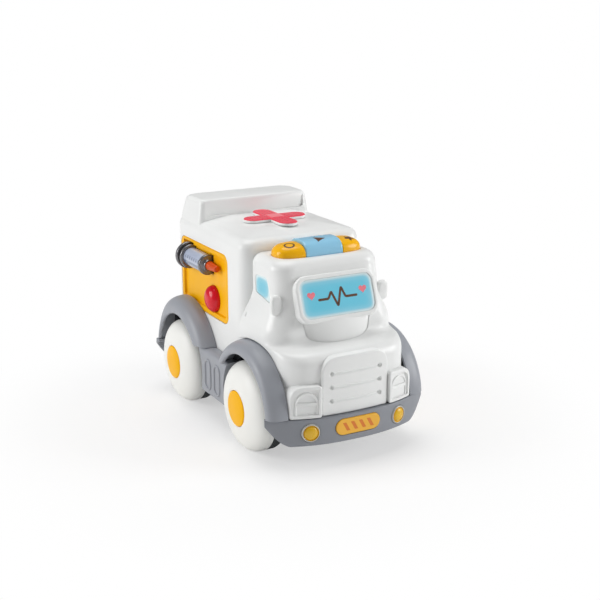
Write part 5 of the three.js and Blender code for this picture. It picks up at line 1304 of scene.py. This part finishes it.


# chassis grey with painted shade inside the wheel wells and on the flanges behind the arches: it darkens by
# the distance to either axle and to the middle plane
def chassisGreyWithPaintedShade(name, shade, deep):
    finish = Finish(name)
    x, y, z = finish.axes()
    rise = finish.minus(z, axleZ * metre)
    reach = [finish.distance(finish.minus(y, axleY * metre), rise) for axleY in bothAxles]
    across = finish.size(x)
    flange = finish.above(across, (bodyHalfWidth + 0.03) * metre)
    limit = finish.plus(finish.times(flange, 9.0 * metre), (archRadius + 1.6) * metre)
    near = finish.below(finish.math("MINIMUM", *reach), limit)
    inside = finish.below(across, (bodyHalfWidth + 0.27) * metre)
    within = finish.times(inside, finish.above(across, (chassisForm["well"] - 1) * metre))
    plain = finish.cloudy(tint(shade, 0.98), tint(shade, 1.02))
    # the deep colour is painted shade, mixed in where the wells and flanges lie in shadow
    return finish.done(finish.mix(finish.times(near, within), plain, deep), 0.36, 0.48, grain=0.06)


# the second colour is the painted shade of the wheel wells
chassisGreyPaintedShade = chassisGreyWithPaintedShade("chassisGreyPaintedShade", colour(*greyShade), colour(40, 43, 48))
finishPiece(chassis, chassisGreyPaintedShade, "chassis", angle=38)
print("chassis built")

# rubber domes: a flange, a slanted skirt and a flat cap turned about the press line, which flatten under it
domeForm = {"flange": 0.8, "shoulder": 0.92, "cap": 0.62, "soft": 0.5, "keep": 0.42}


def domeProfile(radius, height):
    form = domeForm
    corners = ((core, 0), (radius, 0), (radius, form["flange"]), (form["shoulder"] * radius, form["flange"]),
               (form["cap"] * radius, height), (core, height))
    return roundedProfile(corners, form["soft"], 6, False)


for word in ("right", "middle", "left"):
    low, high = nodeBox(f"key_dome_{word}")
    r, rise = domeProfile((high[0] - low[0]) / 2, high[2] - low[2])
    shape = turned(alongZ, r, low[2] + rise, (low[:2] + high[:2]) / 2, 48)
    dome = piece(f"keyDome{word.title()}", [shape], siliconeFinish, f"key_dome_{word}")
    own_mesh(dome)
low, high = nodeBox("button_dome")
r, rise = domeProfile((high[2] - low[2]) / 2, high[0] - low[0])
shape = turned(alongX, r, high[0] - rise, (low[1:] + high[1:]) / 2, 48)
dome = piece("buttonDome", [shape], siliconeFinish, "button_dome")
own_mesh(dome)
print("domes set")

# inner pieces and fasteners keep their solid's shape
bodyScrews = [f"body_screw_{k}" for k in range(1, 5)]
innerFinish = ((greyPlastic, ("battery_cover",)), (cellFinish, ("cell_1", "cell_2")),
               (steelFinish, ("battery_cover_screw", "front_axle", "rear_axle", *bodyScrews)),
               (boardFinish, ("main_board", "key_board", "button_board")),
               (darkPlastic, ("speaker", "power_switch_body", "power_switch_knob")))
for material, nodes in innerFinish:
    for node in nodes:
        solid = bpy.data.objects[node].data
        solid.materials.clear()
        solid.materials.append(material)
print("inner pieces finished")

# floor, light and camera, in metres
floorMesh = bpy.data.meshes.new("floor")
floorMesh.from_pydata([(-6, -6, 0), (6, -6, 0), (6, 6, 0), (-6, 6, 0)], [], [(0, 1, 2, 3)])
floor = newObject("floor", floorMesh)
ground = Finish("paleFloor")
for key, value in (("Base Color", (0.96, 0.96, 0.96, 1)), ("Roughness", 0.9), ("Specular IOR Level", 0.05)):
    ground.shader.inputs[key].default_value = value
# away from the car the floor pales into the background, for the camera only
length = ground.node("ShaderNodeVectorMath")
length.operation = "LENGTH"
fade = ground.node("ShaderNodeMapRange", From_Min=0.09, From_Max=0.23, To_Min=0.5)
fade.interpolation_type = "SMOOTHSTEP"
seenBy = ground.node("ShaderNodeLightPath")
glow = ground.node("ShaderNodeEmission")
both = ground.node("ShaderNodeMixShader")
ground.link(ground.place.outputs["Object"], length.inputs[0])
ground.link(length.outputs["Value"], fade.inputs["Value"])
ground.link(ground.times(fade.outputs["Result"], seenBy.outputs["Is Camera Ray"]), both.inputs["Fac"])
ground.link(ground.shader.outputs["BSDF"], both.inputs[1])
ground.link(glow.outputs["Emission"], both.inputs[2])
ground.link(both.outputs["Shader"], ground.nodes["Material Output"].inputs["Surface"])
floorMesh.materials.append(ground.material)


def softLamp(name, place, target, size, watts):
    lamp = bpy.data.lights.new(name, "AREA")
    lamp.shape = "DISK"
    lamp.size = size
    lamp.energy = watts
    obj = newObject(name, lamp)
    aim = np.asarray(target, float) - np.asarray(place, float)
    aim /= np.linalg.norm(aim)
    obj.location = place
    obj.rotation_euler = (np.arccos(-aim[2]), 0, np.arctan2(aim[1], aim[0]) - pi / 2)


softLamp("leftLamp", (-1.35, 0.5, 0.55), (0, 0, 0.06), 0.9, 11)
softLamp("topLamp", (0.0, 0.25, 1.45), (0, 0, 0.05), 1.2, 11)
softLamp("rightLamp", (1.25, -0.8, 0.55), (0, 0, 0.06), 0.9, 13)

# the room is white to the camera and a dim white to the surfaces
world = bpy.data.worlds.new("paleRoom")
bpy.context.scene.world = world
world.use_nodes = True
air = world.node_tree
dim = air.nodes["Background"]
bright = air.nodes.new("ShaderNodeBackground")
for room, strength in ((dim, 0.22), (bright, 1.0)):
    room.inputs["Color"].default_value = (1, 1, 1, 1)
    room.inputs["Strength"].default_value = strength
ray = air.nodes.new("ShaderNodeLightPath")
either = air.nodes.new("ShaderNodeMixShader")
air.links.new(ray.outputs["Is Camera Ray"], either.inputs["Fac"])
air.links.new(dim.outputs["Background"], either.inputs[1])
air.links.new(bright.outputs["Background"], either.inputs[2])
air.links.new(either.outputs["Shader"], air.nodes["World Output"].inputs["Surface"])

lens = bpy.data.cameras.new("camera")
lens.sensor_width = 36
lens.lens = 65.64
camera = newObject("camera", lens)
camera.location = (-0.3273, -0.6163, 0.2783)
camera.rotation_euler = (radians(90 - 15.94), 0, radians(-28.83))
bpy.context.scene.camera = camera
bpy.context.scene.view_settings.view_transform = "Standard"
